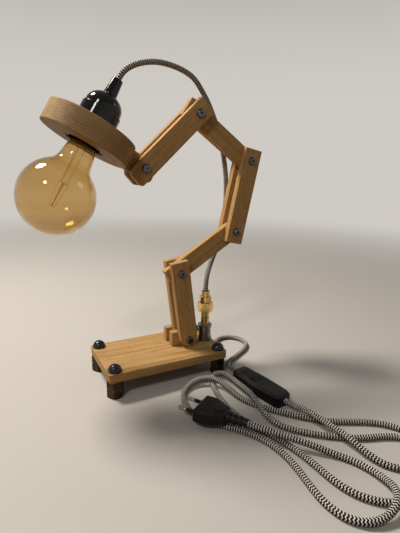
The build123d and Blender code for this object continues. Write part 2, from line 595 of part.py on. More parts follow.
def make_bulb():
    """Globe lamp screwed into the holder."""
    save("bulb_glass", HEAD * (glass_solid(0) - glass_solid(GLASS_WALL)))
    cap_top = NECK_START + BULB_CAP_LENGTH
    cap = ring(BULB_CAP_RADIUS, BULB_CAP_RADIUS - BULB_CAP_WALL, NECK_START, cap_top)
    cap += ring(BULB_CAP_RADIUS, BULB_TIP_RADIUS, cap_top, cap_top + BULB_CAP_WALL)
    save("bulb_cap", HEAD * cap)
    tip_top = SHELL_START + SHELL_LENGTH
    tip = upright(BULB_TIP_RADIUS - THREAD_FIT, cap_top - BULB_TIP_HEIGHT, tip_top)
    save("bulb_contact", HEAD * tip)

    flare_bottom = NECK_START - STEM_FLARE_HEIGHT
    stem_end = NECK_START - STEM_LENGTH
    stem = upright(STEM_FLARE, flare_bottom, NECK_START) + upright(STEM_RADIUS, stem_end, flare_bottom)
    save("bulb_stem", HEAD * stem)
    cage_end = stem_end - CAGE_LENGTH
    flare = CAGE_TOP_RADIUS - CAGE_END_RADIUS
    rod_length = math.hypot(CAGE_LENGTH, flare)
    rod_tilt = math.degrees(math.atan2(flare, CAGE_LENGTH))
    cage = upright(CAGE_TOP_RADIUS + FILAMENT_RADIUS, stem_end - CAGE_PLATE, stem_end)
    cage += upright(CAGE_END_RADIUS + FILAMENT_RADIUS, cage_end, cage_end + CAGE_PLATE)
    cage += upright(CAGE_MAST_RADIUS, cage_end, stem_end)
    for index in range(FILAMENT_COUNT):
        rod = Rot(0, rod_tilt, 0) * upright(FILAMENT_RADIUS, 0, rod_length)
        rod = Pos(CAGE_END_RADIUS, 0, cage_end) * rod
        cage += Rot(0, 0, index * 360 / FILAMENT_COUNT) * rod
    cage &= upright(CAGE_TOP_RADIUS + FILAMENT_RADIUS, cage_end, stem_end)
    save("bulb_filaments", HEAD * cage)


def switch_outline(shrink):
    """Plan of the switch, widest at its middle; shrink makes its inside."""
    dx, dy = SWITCH_NEAR[0] - SWITCH_FAR[0], SWITCH_NEAR[1] - SWITCH_FAR[1]
    end = math.hypot(dx, dy) / 2
    side = [
        (end, SWITCH_END_WIDTH / 2),
        (end - SWITCH_SHOULDER, SWITCH_SHOULDER_WIDTH / 2),
        (0, SWITCH_WIDTH / 2),
        (SWITCH_SHOULDER - end, SWITCH_SHOULDER_WIDTH / 2), (-end, SWITCH_END_WIDTH / 2),
    ]
    plan = Polygon(*side, *[(x, -y) for x, y in reversed(side)], align=None)
    plan = fillet([v for v in plan.vertices() if abs(v.X) > SWITCH_SHOULDER], SWITCH_PLAN_ROUND)
    return offset(plan, amount=-shrink, kind=Kind.INTERSECTION) if shrink else plan


def switch_place():
    """Location of the switch: its own X axis runs from the base towards the plug."""
    dx, dy = SWITCH_NEAR[0] - SWITCH_FAR[0], SWITCH_NEAR[1] - SWITCH_FAR[1]
    middle = ((SWITCH_NEAR[0] + SWITCH_FAR[0]) / 2, (SWITCH_NEAR[1] + SWITCH_FAR[1]) / 2)
    return Pos(middle[0], middle[1], 0) * Rot(0, 0, math.degrees(math.atan2(dy, dx)))


def screw_pair(radius, bottom, top):
    """Two upright cylinders where the switch screws sit."""
    return [Pos(side * SWITCH_SCREW_OFFSET, 0, 0) * upright(radius, bottom, top) for side in (-1, 1)]


def make_switch():
    """Two half shells, a rocker on stub pins, contacts and screws."""
    place = switch_place()
    axis_height = SWITCH_HEIGHT - ROCKER_AXIS_DROP
    inside = switch_outline(SWITCH_WALL)
    screw_hole = SWITCH_SCREW_RADIUS + THREAD_FIT
    seat = SWITCH_SCREW_RECESS + SWITCH_SCREW_HEAD_HEIGHT
    screw_top = SWITCH_SCREW_RECESS + SWITCH_SCREW_LENGTH

    lower = extrude(switch_outline(0), amount=SWITCH_SPLIT)
    lower -= Pos(0, 0, SWITCH_WALL) * extrude(inside, amount=SWITCH_SPLIT)
    for boss in screw_pair(SWITCH_BOSS_RADIUS, 0, SWITCH_SPLIT):
        lower += boss
    for hole in screw_pair(screw_hole, -CUT, SWITCH_SPLIT + CUT):
        lower -= hole
    for hole in screw_pair(SWITCH_SCREW_HEAD + THREAD_FIT, -CUT, seat):
        lower -= hole
    save("switch_lower", place * lower)

    upper = Pos(0, 0, SWITCH_SPLIT) * extrude(switch_outline(0), amount=SWITCH_HEIGHT - SWITCH_SPLIT)
    upper = chamfer(upper.edges().group_by(Axis.Z)[-1], SWITCH_BEVEL)
    hollow = SWITCH_HEIGHT - SWITCH_SPLIT - SWITCH_WALL
    upper -= Pos(0, 0, SWITCH_SPLIT - CUT) * extrude(inside, amount=hollow + CUT)
    for boss in screw_pair(SWITCH_BOSS_RADIUS, SWITCH_SPLIT, SWITCH_HEIGHT - SWITCH_WALL):
        upper += boss
    for hole in screw_pair(screw_hole, SWITCH_SPLIT - CUT, screw_top + THREAD_FIT):
        upper -= hole
    lug_y = ROCKER_WIDTH / 2 + ROCKER_GAP + LUG_THICKNESS / 2
    lug_top = SWITCH_HEIGHT - SWITCH_WALL
    for side in (-1, 1):
        lug = Box(LUG_LENGTH, LUG_THICKNESS, LUG_DROP)
        upper += Pos(0, side * lug_y, lug_top - LUG_DROP / 2) * lug
    window = Box((ROCKER_RADIUS + ROCKER_GAP) * 2, ROCKER_WIDTH + ROCKER_GAP * 2, SWITCH_HEIGHT)
    upper -= Pos(0, 0, SWITCH_HEIGHT) * window
    pin_reach = ROCKER_WIDTH / 2 + ROCKER_PIN_REACH
    socket = pin_reach + CUT / 2
    upper -= across(ROCKER_PIN_RADIUS + RUNNING_FIT, 0, axis_height, -socket, socket)
    save("switch_upper", place * upper)

    reach = ROCKER_RADIUS + CUT
    profile = Polygon(
        (-reach, -ROCKER_BELOW), (reach, -ROCKER_BELOW), (reach, ROCKER_END_RISE), (0, ROCKER_DIP),
        (-reach, ROCKER_END_RISE), align=None)
    rocker = extrude(Plane.XZ * profile, amount=ROCKER_WIDTH / 2, both=True)
    rocker &= across(ROCKER_RADIUS, 0, 0, -ROCKER_WIDTH, ROCKER_WIDTH)
    rocker += across(ROCKER_PIN_RADIUS, 0, 0, -pin_reach, pin_reach)
    save("switch_rocker", place * Pos(0, 0, axis_height) * Rot(0, ROCKER_TILT, 0) * rocker)

    contacts = [
        Pos(side * CONTACT_OFFSET, 0, SWITCH_WALL + CONTACT_BLOCK[2] / 2) * Box(*CONTACT_BLOCK)
        for side in (-1, 1)
    ]
    save("switch_contacts", *[place * contact for contact in contacts])
    shanks = screw_pair(SWITCH_SCREW_RADIUS, SWITCH_SCREW_RECESS, screw_top)
    heads = screw_pair(SWITCH_SCREW_HEAD, SWITCH_SCREW_RECESS, seat)
    save("switch_screws", *[place * (shank + head) for shank, head in zip(shanks, heads)])


def along(radius, start, end, offset_y=0):
    """Cylinder along the plug's own axis."""
    return Pos((start + end) / 2, offset_y, 0) * Rot(0, 90, 0) * Cylinder(radius, end - start)


def make_plug():
    """Two-pin plug: ribbed relief, body, insulated pins."""
    place = Pos(*PLUG_END) * Rot(0, 0, PLUG_TURN)
    relief = Rot(0, 90, 0) * Pos(0, 0, RELIEF_LENGTH / 2) * Cone(RELIEF_START, RELIEF_END, RELIEF_LENGTH)
    pitch = RELIEF_LENGTH / (RELIEF_RIBS * 2 + 1)
    for index in range(RELIEF_RIBS):
        start = pitch * (index * 2 + 1)
        core = RELIEF_START + (RELIEF_END - RELIEF_START) * start / RELIEF_LENGTH - RELIEF_RIB_DEPTH
        relief -= along(RELIEF_END + CUT, start, start + pitch) - along(core, start, start + pitch)
    save("plug_relief", place * relief)

    start, end = RELIEF_LENGTH, RELIEF_LENGTH + PLUG_BODY_LENGTH
    back, front = PLUG_BACK_WIDTH / 2, PLUG_BODY_WIDTH / 2
    plan = Polygon(
        (start, -back), (start + PLUG_SHOULDER, -front), (end, -front), (end, front),
        (start + PLUG_SHOULDER, front), (start, back), align=None)
    body = extrude(plan, amount=PLUG_THICKNESS / 2, both=True)
    body = fillet(body.edges().filter_by(Axis.Z), PLUG_ROUND)
    rims = body.faces().filter_by(Axis.Z)
    body = fillet([edge for face in rims for edge in face.outer_wire().edges()], PLUG_ROUND)
    boss = upright(PLUG_BOSS_RADIUS, 0, PLUG_THICKNESS / 2 + PLUG_BOSS_RISE)
    boss = fillet(boss.edges().filter_by(GeomType.CIRCLE).group_by(Axis.Z)[-1], PLUG_BOSS_ROUND)
    body += Pos(start + PLUG_BOSS_SETBACK, 0, 0) * boss
    for side in (-1, 1):
        body -= along(PIN_CORE + THREAD_FIT, end - PIN_IN_BODY, end + CUT, side * PIN_PITCH / 2)
    save("plug_body", place * body)

    pins, sleeves = [], []
    for side in (-1, 1):
        y = side * PIN_PITCH / 2
        tip = along(PIN_RADIUS, end + PIN_SLEEVE, end + PIN_SLEEVE + PIN_TIP, y)
        tip = fillet(tip.edges().filter_by(GeomType.CIRCLE).group_by(Axis.X)[-1], PIN_TIP_ROUND)
        pins.append(place * (tip + along(PIN_CORE, end - PIN_IN_BODY, end + PIN_SLEEVE, y)))
        sleeve = along(PIN_RADIUS, end, end + PIN_SLEEVE, y)
        sleeves.append(place * (sleeve - along(PIN_CORE + THREAD_FIT, end - CUT, end + PIN_SLEEVE + CUT, y)))
    save("plug_pins", *pins)
    save("plug_sleeves", *sleeves)


def cord(name, points):
    """Round cord along straight runs joined by tangent arcs."""
    runs = [Vector(*b) - Vector(*a) for a, b in zip(points, points[1:])]
    radii = []
    for before, after in zip(runs, runs[1:]):
        turn = math.radians(before.get_angle(after))
        radii.append(BEND_SHARE * min(before.length, after.length) / math.tan(turn / 2))
    path = FilletPolyline(*points, radius=radii)
    section = Plane(origin=path @ 0, z_dir=path % 0) * Circle(CORD_RADIUS)
    tube = sweep(section, path=path)
    ideal = math.pi * CORD_RADIUS ** 2 * path.length
    print(f"{name}: length {path.length:.1f}, least radius {min(radii):.1f}, "
          f"volume / (section x length) {tube.volume / ideal:.4f}")
    save(name, tube)


def make_cords():
    """Every stretch of the flexible cord."""
    cord("cord_base", BASE_CORD_ROUTE)
    cord("cord_mains", MAINS_CORD_ROUTE)
    grip_end = (HEAD * Pos(0, 0, GRIP_END)).position
    grip_run = (HEAD * Pos(0, 0, GRIP_END + LEAD_LAST_RUN)).position
    last = len(HEAD_LEAD_ROUTES)
    for number, route in enumerate(HEAD_LEAD_ROUTES, start=1):
        tail = (tuple(grip_run), tuple(grip_end)) if number == last else ()
        cord(f"head_lead_{number}", route + tail)


os.makedirs("parts", exist_ok=True)
make_base()
make_gland()
make_arms()
make_disc()
make_holder()
make_bulb()
make_switch()
make_plug()
make_cords()
print("pivots", [(round(x, 2), round(z, 2)) for x, z in PIVOTS])
print("head at", [round(value, 2) for value in HEAD.position])
print("grip end", [round(value, 2) for value in (HEAD * Pos(0, 0, GRIP_END)).position])
print("switch axis", [round(value, 2) for value in switch_place().position], switch_place().orientation)
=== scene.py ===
"""Dressed model of a jointed wooden desk lamp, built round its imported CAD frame."""

import json
import logging
import math
from dataclasses import dataclass, field
from enum import Enum
from typing import Any, Sequence

import bmesh
import bpy
from bpy.types import Material, Mesh, Node, NodeSocket, NodeTree, Object
from mathutils import Matrix, Vector
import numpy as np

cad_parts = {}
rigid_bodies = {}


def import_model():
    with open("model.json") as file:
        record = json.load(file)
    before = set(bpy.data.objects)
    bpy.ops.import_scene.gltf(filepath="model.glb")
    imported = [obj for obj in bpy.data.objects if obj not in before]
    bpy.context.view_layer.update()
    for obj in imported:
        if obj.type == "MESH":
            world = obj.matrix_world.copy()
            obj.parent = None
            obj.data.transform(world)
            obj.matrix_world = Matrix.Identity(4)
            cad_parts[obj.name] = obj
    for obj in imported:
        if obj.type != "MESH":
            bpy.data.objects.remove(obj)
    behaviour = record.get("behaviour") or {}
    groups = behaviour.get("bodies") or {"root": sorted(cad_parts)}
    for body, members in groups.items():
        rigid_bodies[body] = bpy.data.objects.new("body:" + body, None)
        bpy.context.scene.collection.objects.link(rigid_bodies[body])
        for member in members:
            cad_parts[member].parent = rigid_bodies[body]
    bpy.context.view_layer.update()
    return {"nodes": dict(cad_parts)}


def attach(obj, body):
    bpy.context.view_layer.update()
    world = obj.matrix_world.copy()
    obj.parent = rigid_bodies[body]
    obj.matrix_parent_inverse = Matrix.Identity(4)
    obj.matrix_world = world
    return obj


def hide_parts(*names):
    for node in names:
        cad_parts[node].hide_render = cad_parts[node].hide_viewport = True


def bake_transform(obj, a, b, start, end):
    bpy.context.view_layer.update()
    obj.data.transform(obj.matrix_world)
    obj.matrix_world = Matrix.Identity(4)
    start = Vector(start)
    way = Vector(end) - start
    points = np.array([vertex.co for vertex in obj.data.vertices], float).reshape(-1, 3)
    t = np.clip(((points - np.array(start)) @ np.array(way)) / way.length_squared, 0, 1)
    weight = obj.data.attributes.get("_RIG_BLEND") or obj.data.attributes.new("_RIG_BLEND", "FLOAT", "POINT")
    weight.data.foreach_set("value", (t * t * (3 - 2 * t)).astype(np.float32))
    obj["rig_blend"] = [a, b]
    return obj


for leftover in list(bpy.data.objects):
    bpy.data.objects.remove(leftover)
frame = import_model()

LOG = logging.getLogger("desk_lamp")
MM = 0.001

Point = tuple[float, float, float]
Colour = tuple[float, float, float]
Stops = Sequence[tuple[float, Colour]]


def grey(value: float) -> Colour:
    """Give a colour without hue."""
    return value, value, value


class Body(str, Enum):
    """Bodies of the jointed lamp, in order from the table to the globe."""

    BASE = "base"
    ARM_1 = "arm_1"
    ARM_2 = "arm_2"
    ARM_3 = "arm_3"
    ARM_4 = "arm_4"
    ARM_5 = "arm_5"
    HEAD = "head"


class Count(str, Enum):
    """Counts that the woven sleeve carries and its finish reads."""

    ALONG = "along"
    ZIGZAG = "zigzag"


class NodeSketch:
    """Adds and wires the nodes of one node tree."""

    def __init__(self, tree: NodeTree) -> None:
        """Keep the tree that the nodes go into."""
        self.tree = tree

    def feed(self, node: Node, inputs: dict[Any, Any]) -> None:
        """Set or link a node's inputs.

        Args:
            node: the node.
            inputs: socket name or number, with a value or the socket that feeds it.
        """
        for key, value in inputs.items():
            socket = node.inputs[key]
            if isinstance(value, NodeSocket):
                self.tree.links.new(value, socket)
            elif socket.type == "RGBA":
                socket.default_value = (*value, 1.0)
            else:
                socket.default_value = value

    def add(self, kind: str, inputs: dict[Any, Any] | None = None, **settings: Any) -> Node:
        """Add one node, set its own properties and feed its inputs.

        Args:
            kind: the node's type name.
            inputs: socket name or number, with a value or the socket that feeds it.
            settings: properties of the node itself.

        Returns:
            The new node.
        """
        node = self.tree.nodes.new(kind)
        for name, value in settings.items():
            setattr(node, name, value)
        self.feed(node, inputs or {})
        return node

    def maths(self, operation: str, *values: Any) -> NodeSocket:
        """Add a Math node.

        Args:
            operation: the sum to do.
            values: numbers, or sockets that give them.

        Returns:
            The result's socket.
        """
        return self.add("ShaderNodeMath", dict(enumerate(values)), operation=operation).outputs[0]

    def vectors(self, operation: str, *values: Any) -> NodeSocket:
        """Add a Vector Math node, in the same way as a Math node."""
        return self.add("ShaderNodeVectorMath", dict(enumerate(values)), operation=operation).outputs[0]

    def ramp(self, factor: NodeSocket, stops: Stops) -> NodeSocket:
        """Add a colour ramp.

        Args:
            factor: what the ramp reads.
            stops: place and colour of each stop.

        Returns:
            The colour's socket.
        """
        node = self.add("ShaderNodeValToRGB", {"Fac": factor})
        elements = node.color_ramp.elements
        while len(elements) < len(stops):
            elements.new(stops[-1][0])
        for element, (place, colour) in zip(elements, stops):
            element.position = place
            element.color = (*colour, 1.0)
        return node.outputs["Color"]

    def blend(self, factor: Any, first: Any, second: Any, mode: str = "MIX") -> NodeSocket:
        """Mix two colours.

        Args:
            factor: share of the second colour.
            first: a colour or its socket.
            second: a colour or its socket.
            mode: how they are mixed.

        Returns:
            The mixed colour's socket.
        """
        return self.add("ShaderNodeMix", {0: factor, 6: first, 7: second}, data_type="RGBA",
                        blend_type=mode).outputs[2]

    def noise(self, place: NodeSocket, scale: float | Point, detail: float = 2.0, roughness: float = 0.5,
              output: str = "Fac") -> NodeSocket:
        """Add a noise texture.

        Args:
            place: the place that it reads.
            scale: its fineness in lumps per metre, for all three axes or for each.
            detail: its octaves.
            roughness: the weight of its finer octaves.
            output: Fac for one value, Color for three.

        Returns:
            The noise's socket.
        """
        if isinstance(scale, tuple):
            place, scale = self.vectors("MULTIPLY", place, scale), 1.0
        return self.add("ShaderNodeTexNoise", {
            "Vector": place, "Scale": scale, "Detail": detail, "Roughness": roughness}).outputs[output]

    def fade(self, value: NodeSocket, start: float, end: float) -> NodeSocket:
        """Rise smoothly from 0 at the start to 1 at the end."""
        return self.add("ShaderNodeMapRange", {"Value": value, "From Min": start, "From Max": end},
                        interpolation_type="SMOOTHSTEP").outputs[0]

    def bump(self, height: NodeSocket, strength: float, depth: float) -> NodeSocket:
        """Turn a height into a normal, depth in metres."""
        return self.add("ShaderNodeBump", {
            "Height": height, "Strength": strength, "Distance": depth}).outputs["Normal"]


class GrowthSketch(NodeSketch):
    """Adds the nodes of a Geometry Nodes tree, from its named inputs to the dressed result."""

    def __init__(self, name: str, **inputs: str) -> None:
        """Start the tree, which also takes a Geometry and a Finish.

        Args:
            name: the tree's name.
            inputs: its own named inputs, each with the kind of its socket.
        """
        super().__init__(bpy.data.node_groups.new(name, "GeometryNodeTree"))
        for label, kind in {"Geometry": "Geometry", **inputs, "Finish": "Material"}.items():
            self.tree.interface.new_socket(label, in_out="INPUT", socket_type="NodeSocket" + kind)
        self.tree.interface.new_socket("Geometry", in_out="OUTPUT", socket_type="NodeSocketGeometry")
        self.given = self.add("NodeGroupInput").outputs

    def shape(self, kind: str, **inputs: Any) -> NodeSocket:
        """Add a geometry node.

        Args:
            kind: the last part of the node's type name.
            inputs: values or sockets for its inputs, with _ for a space in a name.

        Returns:
            Its first output.
        """
        fed = {name.replace("_", " "): value for name, value in inputs.items()}
        return self.add("GeometryNode" + kind, fed).outputs[0]

    def point(self, **parts: Any) -> NodeSocket:
        """Give a point from its X, Y and Z, of which those left out are 0."""
        return self.add("ShaderNodeCombineXYZ", parts).outputs[0]

    def circle(self, radius: Any, steps: Any) -> NodeSocket:
        """Draw a circle about the origin."""
        return self.shape("CurvePrimitiveCircle", Resolution=steps, Radius=radius)

    def tube(self, line: NodeSocket, section: NodeSocket) -> NodeSocket:
        """Give a line a section, with closed ends."""
        return self.shape("CurveToMesh", Curve=line, Profile_Curve=section, Fill_Caps=True)

    def deliver(self, result: NodeSocket) -> NodeTree:
        """End the tree with real, dressed geometry.

        Args:
            result: the finished shape.

        Returns:
            The tree.
        """
        result = self.shape("RealizeInstances", Geometry=result)
        result = self.shape("SetMaterial", Geometry=result, Material=self.given["Finish"])
        self.add("NodeGroupOutput", {"Geometry": result})
        return self.tree


@dataclass(frozen=True)
class Finish:
    """What every finish shares: a name, and a slot name which is not used."""

    name: str
    slot: str

    def paint(self, sketch: NodeSketch, place: NodeSocket) -> dict[str, Any]:
        """Work out the surface; each finish does this its own way.

        Args:
            sketch: the material's nodes.
            place: the place on the piece, in metres.

        Returns:
            Inputs of the surface shader.
        """
        raise NotImplementedError

    def make(self) -> Material:
        """Build the material."""
        material = bpy.data.materials.new(self.name)
        material.use_nodes = True
        sketch = NodeSketch(material.node_tree)
        place = sketch.add("ShaderNodeTexCoord").outputs["Object"]
        sketch.feed(sketch.tree.nodes["Principled BSDF"], self.paint(sketch, place))
        return material


@dataclass(frozen=True)
class WoodFinish(Finish):
    """Pale oiled oak whose grain runs along one direction in the lamp's plane."""

    grain_angle: float = 0.0
    shift: Point = (0.0, 0.0, 0.0)
    pale: Colour = (0.545, 0.340, 0.140)
    middle: Colour = (0.485, 0.295, 0.116)
    dark: Colour = (0.385, 0.222, 0.080)
    pore: Colour = (0.170, 0.088, 0.032)
    pith: tuple[float, float] = (0.055, 0.085)
    ring_width: float = 0.0028
    ring_stops: tuple[float, ...] = (0.0, 0.25, 0.70, 0.90, 1.0)
    drift_scale: Point = (5.0, 26.0, 26.0)
    drift_reach: Point = (0.0, 0.011, 0.011)
    streak_scale: Point = (9.0, 190.0, 190.0)
    streak_detail: float = 3.0
    streak_tones: Stops = ((0.30, (0.74, 0.70, 0.66)), (0.70, grey(1.08)))
    streak_share: float = 0.85
    fibre_scale: Point = (30.0, 1300.0, 1300.0)
    fibre_tones: Stops = ((0.25, (0.86, 0.84, 0.82)), (0.75, grey(1.05)))
    fibre_share: float = 0.8
    fleck_scale: Point = (130.0, 2400.0, 2400.0)
    fleck_detail: float = 1.0
    fleck_start: float = 0.56
    fleck_gain: float = 9.0
    fleck_soft: float = 0.1
    gloss_start: float = 0.44
    gloss_range: float = 0.16
    specular: float = 0.2
    relief_strength: float = 0.35
    relief: float = 0.00025

    def paint(self, sketch: NodeSketch, place: NodeSocket) -> dict[str, Any]:
        """Build growth rings, streaks and pores in the solid wood."""
        turned = sketch.add("ShaderNodeMapping", {
            "Vector": place, "Location": self.shift,
            "Rotation": (0.0, math.radians(self.grain_angle), 0.0)}).outputs[0]
        drift = sketch.noise(turned, self.drift_scale, output="Color")
        bent = sketch.vectors("ADD", turned, sketch.vectors("MULTIPLY", drift, self.drift_reach))
        parts = sketch.add("ShaderNodeSeparateXYZ", {0: bent}).outputs
        across = sketch.maths("ADD", parts["Y"], self.pith[0])
        rise = sketch.maths("ADD", parts["Z"], self.pith[1])
        radius = sketch.maths("SQRT", sketch.maths(
            "ADD", sketch.maths("MULTIPLY", across, across), sketch.maths("MULTIPLY", rise, rise)))
        ring = sketch.maths("FRACT", sketch.maths("DIVIDE", radius, self.ring_width))

        streak = sketch.noise(turned, self.streak_scale, self.streak_detail)
        fibre = sketch.noise(turned, self.fibre_scale)
        flecks = sketch.noise(turned, self.fleck_scale, self.fleck_detail)
        strong = sketch.maths("MAXIMUM", sketch.maths("SUBTRACT", flecks, self.fleck_start), 0.0)
        strong = sketch.maths("SMOOTH_MIN", sketch.maths("MULTIPLY", strong, self.fleck_gain), 1.0,
                              self.fleck_soft)
        pores = sketch.maths("MULTIPLY", strong, sketch.maths("SUBTRACT", 1.0, ring))

        tones = (self.middle, self.pale, self.pale, self.dark, self.middle)
        colour = sketch.ramp(ring, list(zip(self.ring_stops, tones)))
        colour = sketch.blend(self.streak_share, colour, sketch.ramp(streak, self.streak_tones), "MULTIPLY")
        colour = sketch.blend(self.fibre_share, colour, sketch.ramp(fibre, self.fibre_tones), "MULTIPLY")
        height = sketch.maths("SUBTRACT", fibre, pores)
        return {"Base Color": sketch.blend(pores, colour, self.pore), "Specular IOR Level": self.specular,
                "Roughness": sketch.maths("MULTIPLY_ADD", fibre, self.gloss_range, self.gloss_start),
                "Normal": sketch.bump(height, self.relief_strength, self.relief)}


@dataclass(frozen=True)
class MetalFinish(Finish):
    """Turned or blackened metal with tarnished patches, painted shade in its recesses and fine tool marks."""

    colour: Colour = grey(0.5)
    tarnish_and_shade: Colour = grey(0.2)
    tarnish_share: float = 0.5
    roughness: float = 0.3
    spread: float = 0.15
    metallic: float = 1.0
    patch_scale: float = 210.0
    patch_detail: float = 4.0
    patch_roughness: float = 0.62
    patch_range: tuple[float, float] = (0.40, 0.68)
    grain_scale: float = 1700.0
    grain_gloss: float = 0.5
    grain_relief: float = 0.6
    mark_scale: Point = (260.0, 260.0, 3600.0)
    mark_strength: float = 0.3
    mark_depth: float = 0.00004
    # Reach and tones of the painted shade that darkens recesses.
    painted_shade_reach: float = 0.004
    painted_shade_tones: Stops = ((0.25, grey(0.9)), (0.80, grey(0.0)))

    def paint(self, sketch: NodeSketch, place: NodeSocket) -> dict[str, Any]:
        """Build the patches, the painted shade in the recesses, the gloss and the marks."""
        patches = sketch.noise(place, self.patch_scale, self.patch_detail, self.patch_roughness)
        grain = sketch.noise(place, self.grain_scale)
        marks = sketch.noise(place, self.mark_scale)
        start, end = self.patch_range
        cover = sketch.ramp(patches, ((start, grey(0.0)), (end, grey(self.tarnish_share))))
        colour = sketch.blend(cover, self.colour, self.tarnish_and_shade)
        # Painted shade: where the Ambient Occlusion node finds a recess, the colour darkens towards the same
        # dark colour as the tarnished patches.
        open_sky = sketch.add("ShaderNodeAmbientOcclusion", {"Distance": self.painted_shade_reach}).outputs["AO"]
        colour = sketch.blend(sketch.ramp(open_sky, self.painted_shade_tones), colour, self.tarnish_and_shade)
        uneven = sketch.maths("ADD", sketch.maths("MULTIPLY", patches, self.spread),
                              sketch.maths("MULTIPLY", grain, self.spread * self.grain_gloss))
        mean = self.spread * (1.0 + self.grain_gloss) / 2
        height = sketch.maths("ADD", marks, sketch.maths("MULTIPLY", grain, self.grain_relief))
        return {"Base Color": colour, "Metallic": self.metallic,
                "Roughness": sketch.maths("ADD", uneven, self.roughness - mean),
                "Normal": sketch.bump(height, self.mark_strength, self.mark_depth)}


@dataclass(frozen=True)
class MouldedFinish(Finish):
    """Moulded plastic, rubber or glazed ware, plain in colour with a fine skin."""

    colour: Colour = grey(0.02)
    dust: Colour = (0.06, 0.06, 0.058)
    roughness: float = 0.5
    spread: float = 0.1
    specular: float = 0.5
    skin_scale: float = 1500.0
    skin_detail: float = 3.0
    skin_strength: float = 0.3
    skin_depth: float = 0.00006
    film_scale: float = 95.0
    film_detail: float = 4.0
    film_roughness: float = 0.6
    film_tones: Stops = ((0.42, grey(0.0)), (0.80, grey(0.55)))

    def paint(self, sketch: NodeSketch, place: NodeSocket) -> dict[str, Any]:
        """Build the skin, a little dust and uneven gloss."""
        skin = sketch.noise(place, self.skin_scale, self.skin_detail)
        film = sketch.noise(place, self.film_scale, self.film_detail, self.film_roughness)
        cover = sketch.ramp(film, self.film_tones)
        gloss = sketch.maths("MULTIPLY_ADD", film, self.spread, self.roughness - self.spread / 2)
        return {"Base Color": sketch.blend(cover, self.colour, self.dust), "Roughness": gloss,
                "Specular IOR Level": self.specular,
                "Normal": sketch.bump(skin, self.skin_strength, self.skin_depth)}


@dataclass(frozen=True)
class GlassFinish(Finish):
    """Blown glass, clear or tinted, deeper in colour where it is seen edge on."""

    tint: Colour = (0.98, 0.94, 0.84)
    deep: Colour = (0.97, 0.90, 0.74)
    facing_blend: float = 0.5
    edge: float = 3.0
    ior: float = 1.45
    wave_scale: float = 26.0
    wave_strength: float = 0.05
    wave_depth: float = 0.0006

    def paint(self, sketch: NodeSketch, place: NodeSocket) -> dict[str, Any]:
        """Build the tint and the faint waves of blowing."""
        waves = sketch.noise(place, self.wave_scale)
        facing = sketch.add("ShaderNodeLayerWeight", {"Blend": self.facing_blend}).outputs["Facing"]
        tint = sketch.blend(sketch.maths("POWER", facing, self.edge), self.tint, self.deep)
        return {"Base Color": tint, "Roughness": 0.0, "IOR": self.ior, "Transmission Weight": 1.0,
                "Normal": sketch.bump(waves, self.wave_strength, self.wave_depth)}


@dataclass(frozen=True)
class BraidFinish(Finish):
    """Textile braid in two yarns that make a zigzag round the cord."""

    dark: Colour = (0.008, 0.008, 0.009)
    light: Colour = (0.72, 0.69, 0.65)
    yarn_stops: tuple[float, ...] = (0.0, 0.58, 0.61, 0.97, 1.0)
    fuzz_scale: float = 4200.0
    fuzz_tones: Stops = ((0.2, grey(0.80)), (0.8, grey(1.08)))
    fuzz_share: float = 0.8
    fuzz_strength: float = 0.5
    fuzz_depth: float = 0.00012
    roughness: float = 0.82
    specular: float = 0.15
    sheen: float = 0.04
    sheen_roughness: float = 0.5

    def paint(self, sketch: NodeSketch, place: NodeSocket) -> dict[str, Any]:
        """Build the two yarns from the sleeve's own counts."""
        along, zigzag = (
            sketch.add("ShaderNodeAttribute", attribute_name=count.value).outputs["Fac"] for count in Count)
        phase = sketch.maths("FRACT", sketch.maths("ADD", along, zigzag))
        tones = (self.dark, self.dark, self.light, self.light, self.dark)
        yarn = sketch.ramp(phase, list(zip(self.yarn_stops, tones)))
        fuzz = sketch.noise(place, self.fuzz_scale)
        colour = sketch.blend(self.fuzz_share, yarn, sketch.ramp(fuzz, self.fuzz_tones), "MULTIPLY")
        return {"Base Color": colour, "Roughness": self.roughness, "Specular IOR Level": self.specular,
                "Sheen Weight": self.sheen, "Sheen Roughness": self.sheen_roughness,
                "Normal": sketch.bump(fuzz, self.fuzz_strength, self.fuzz_depth)}


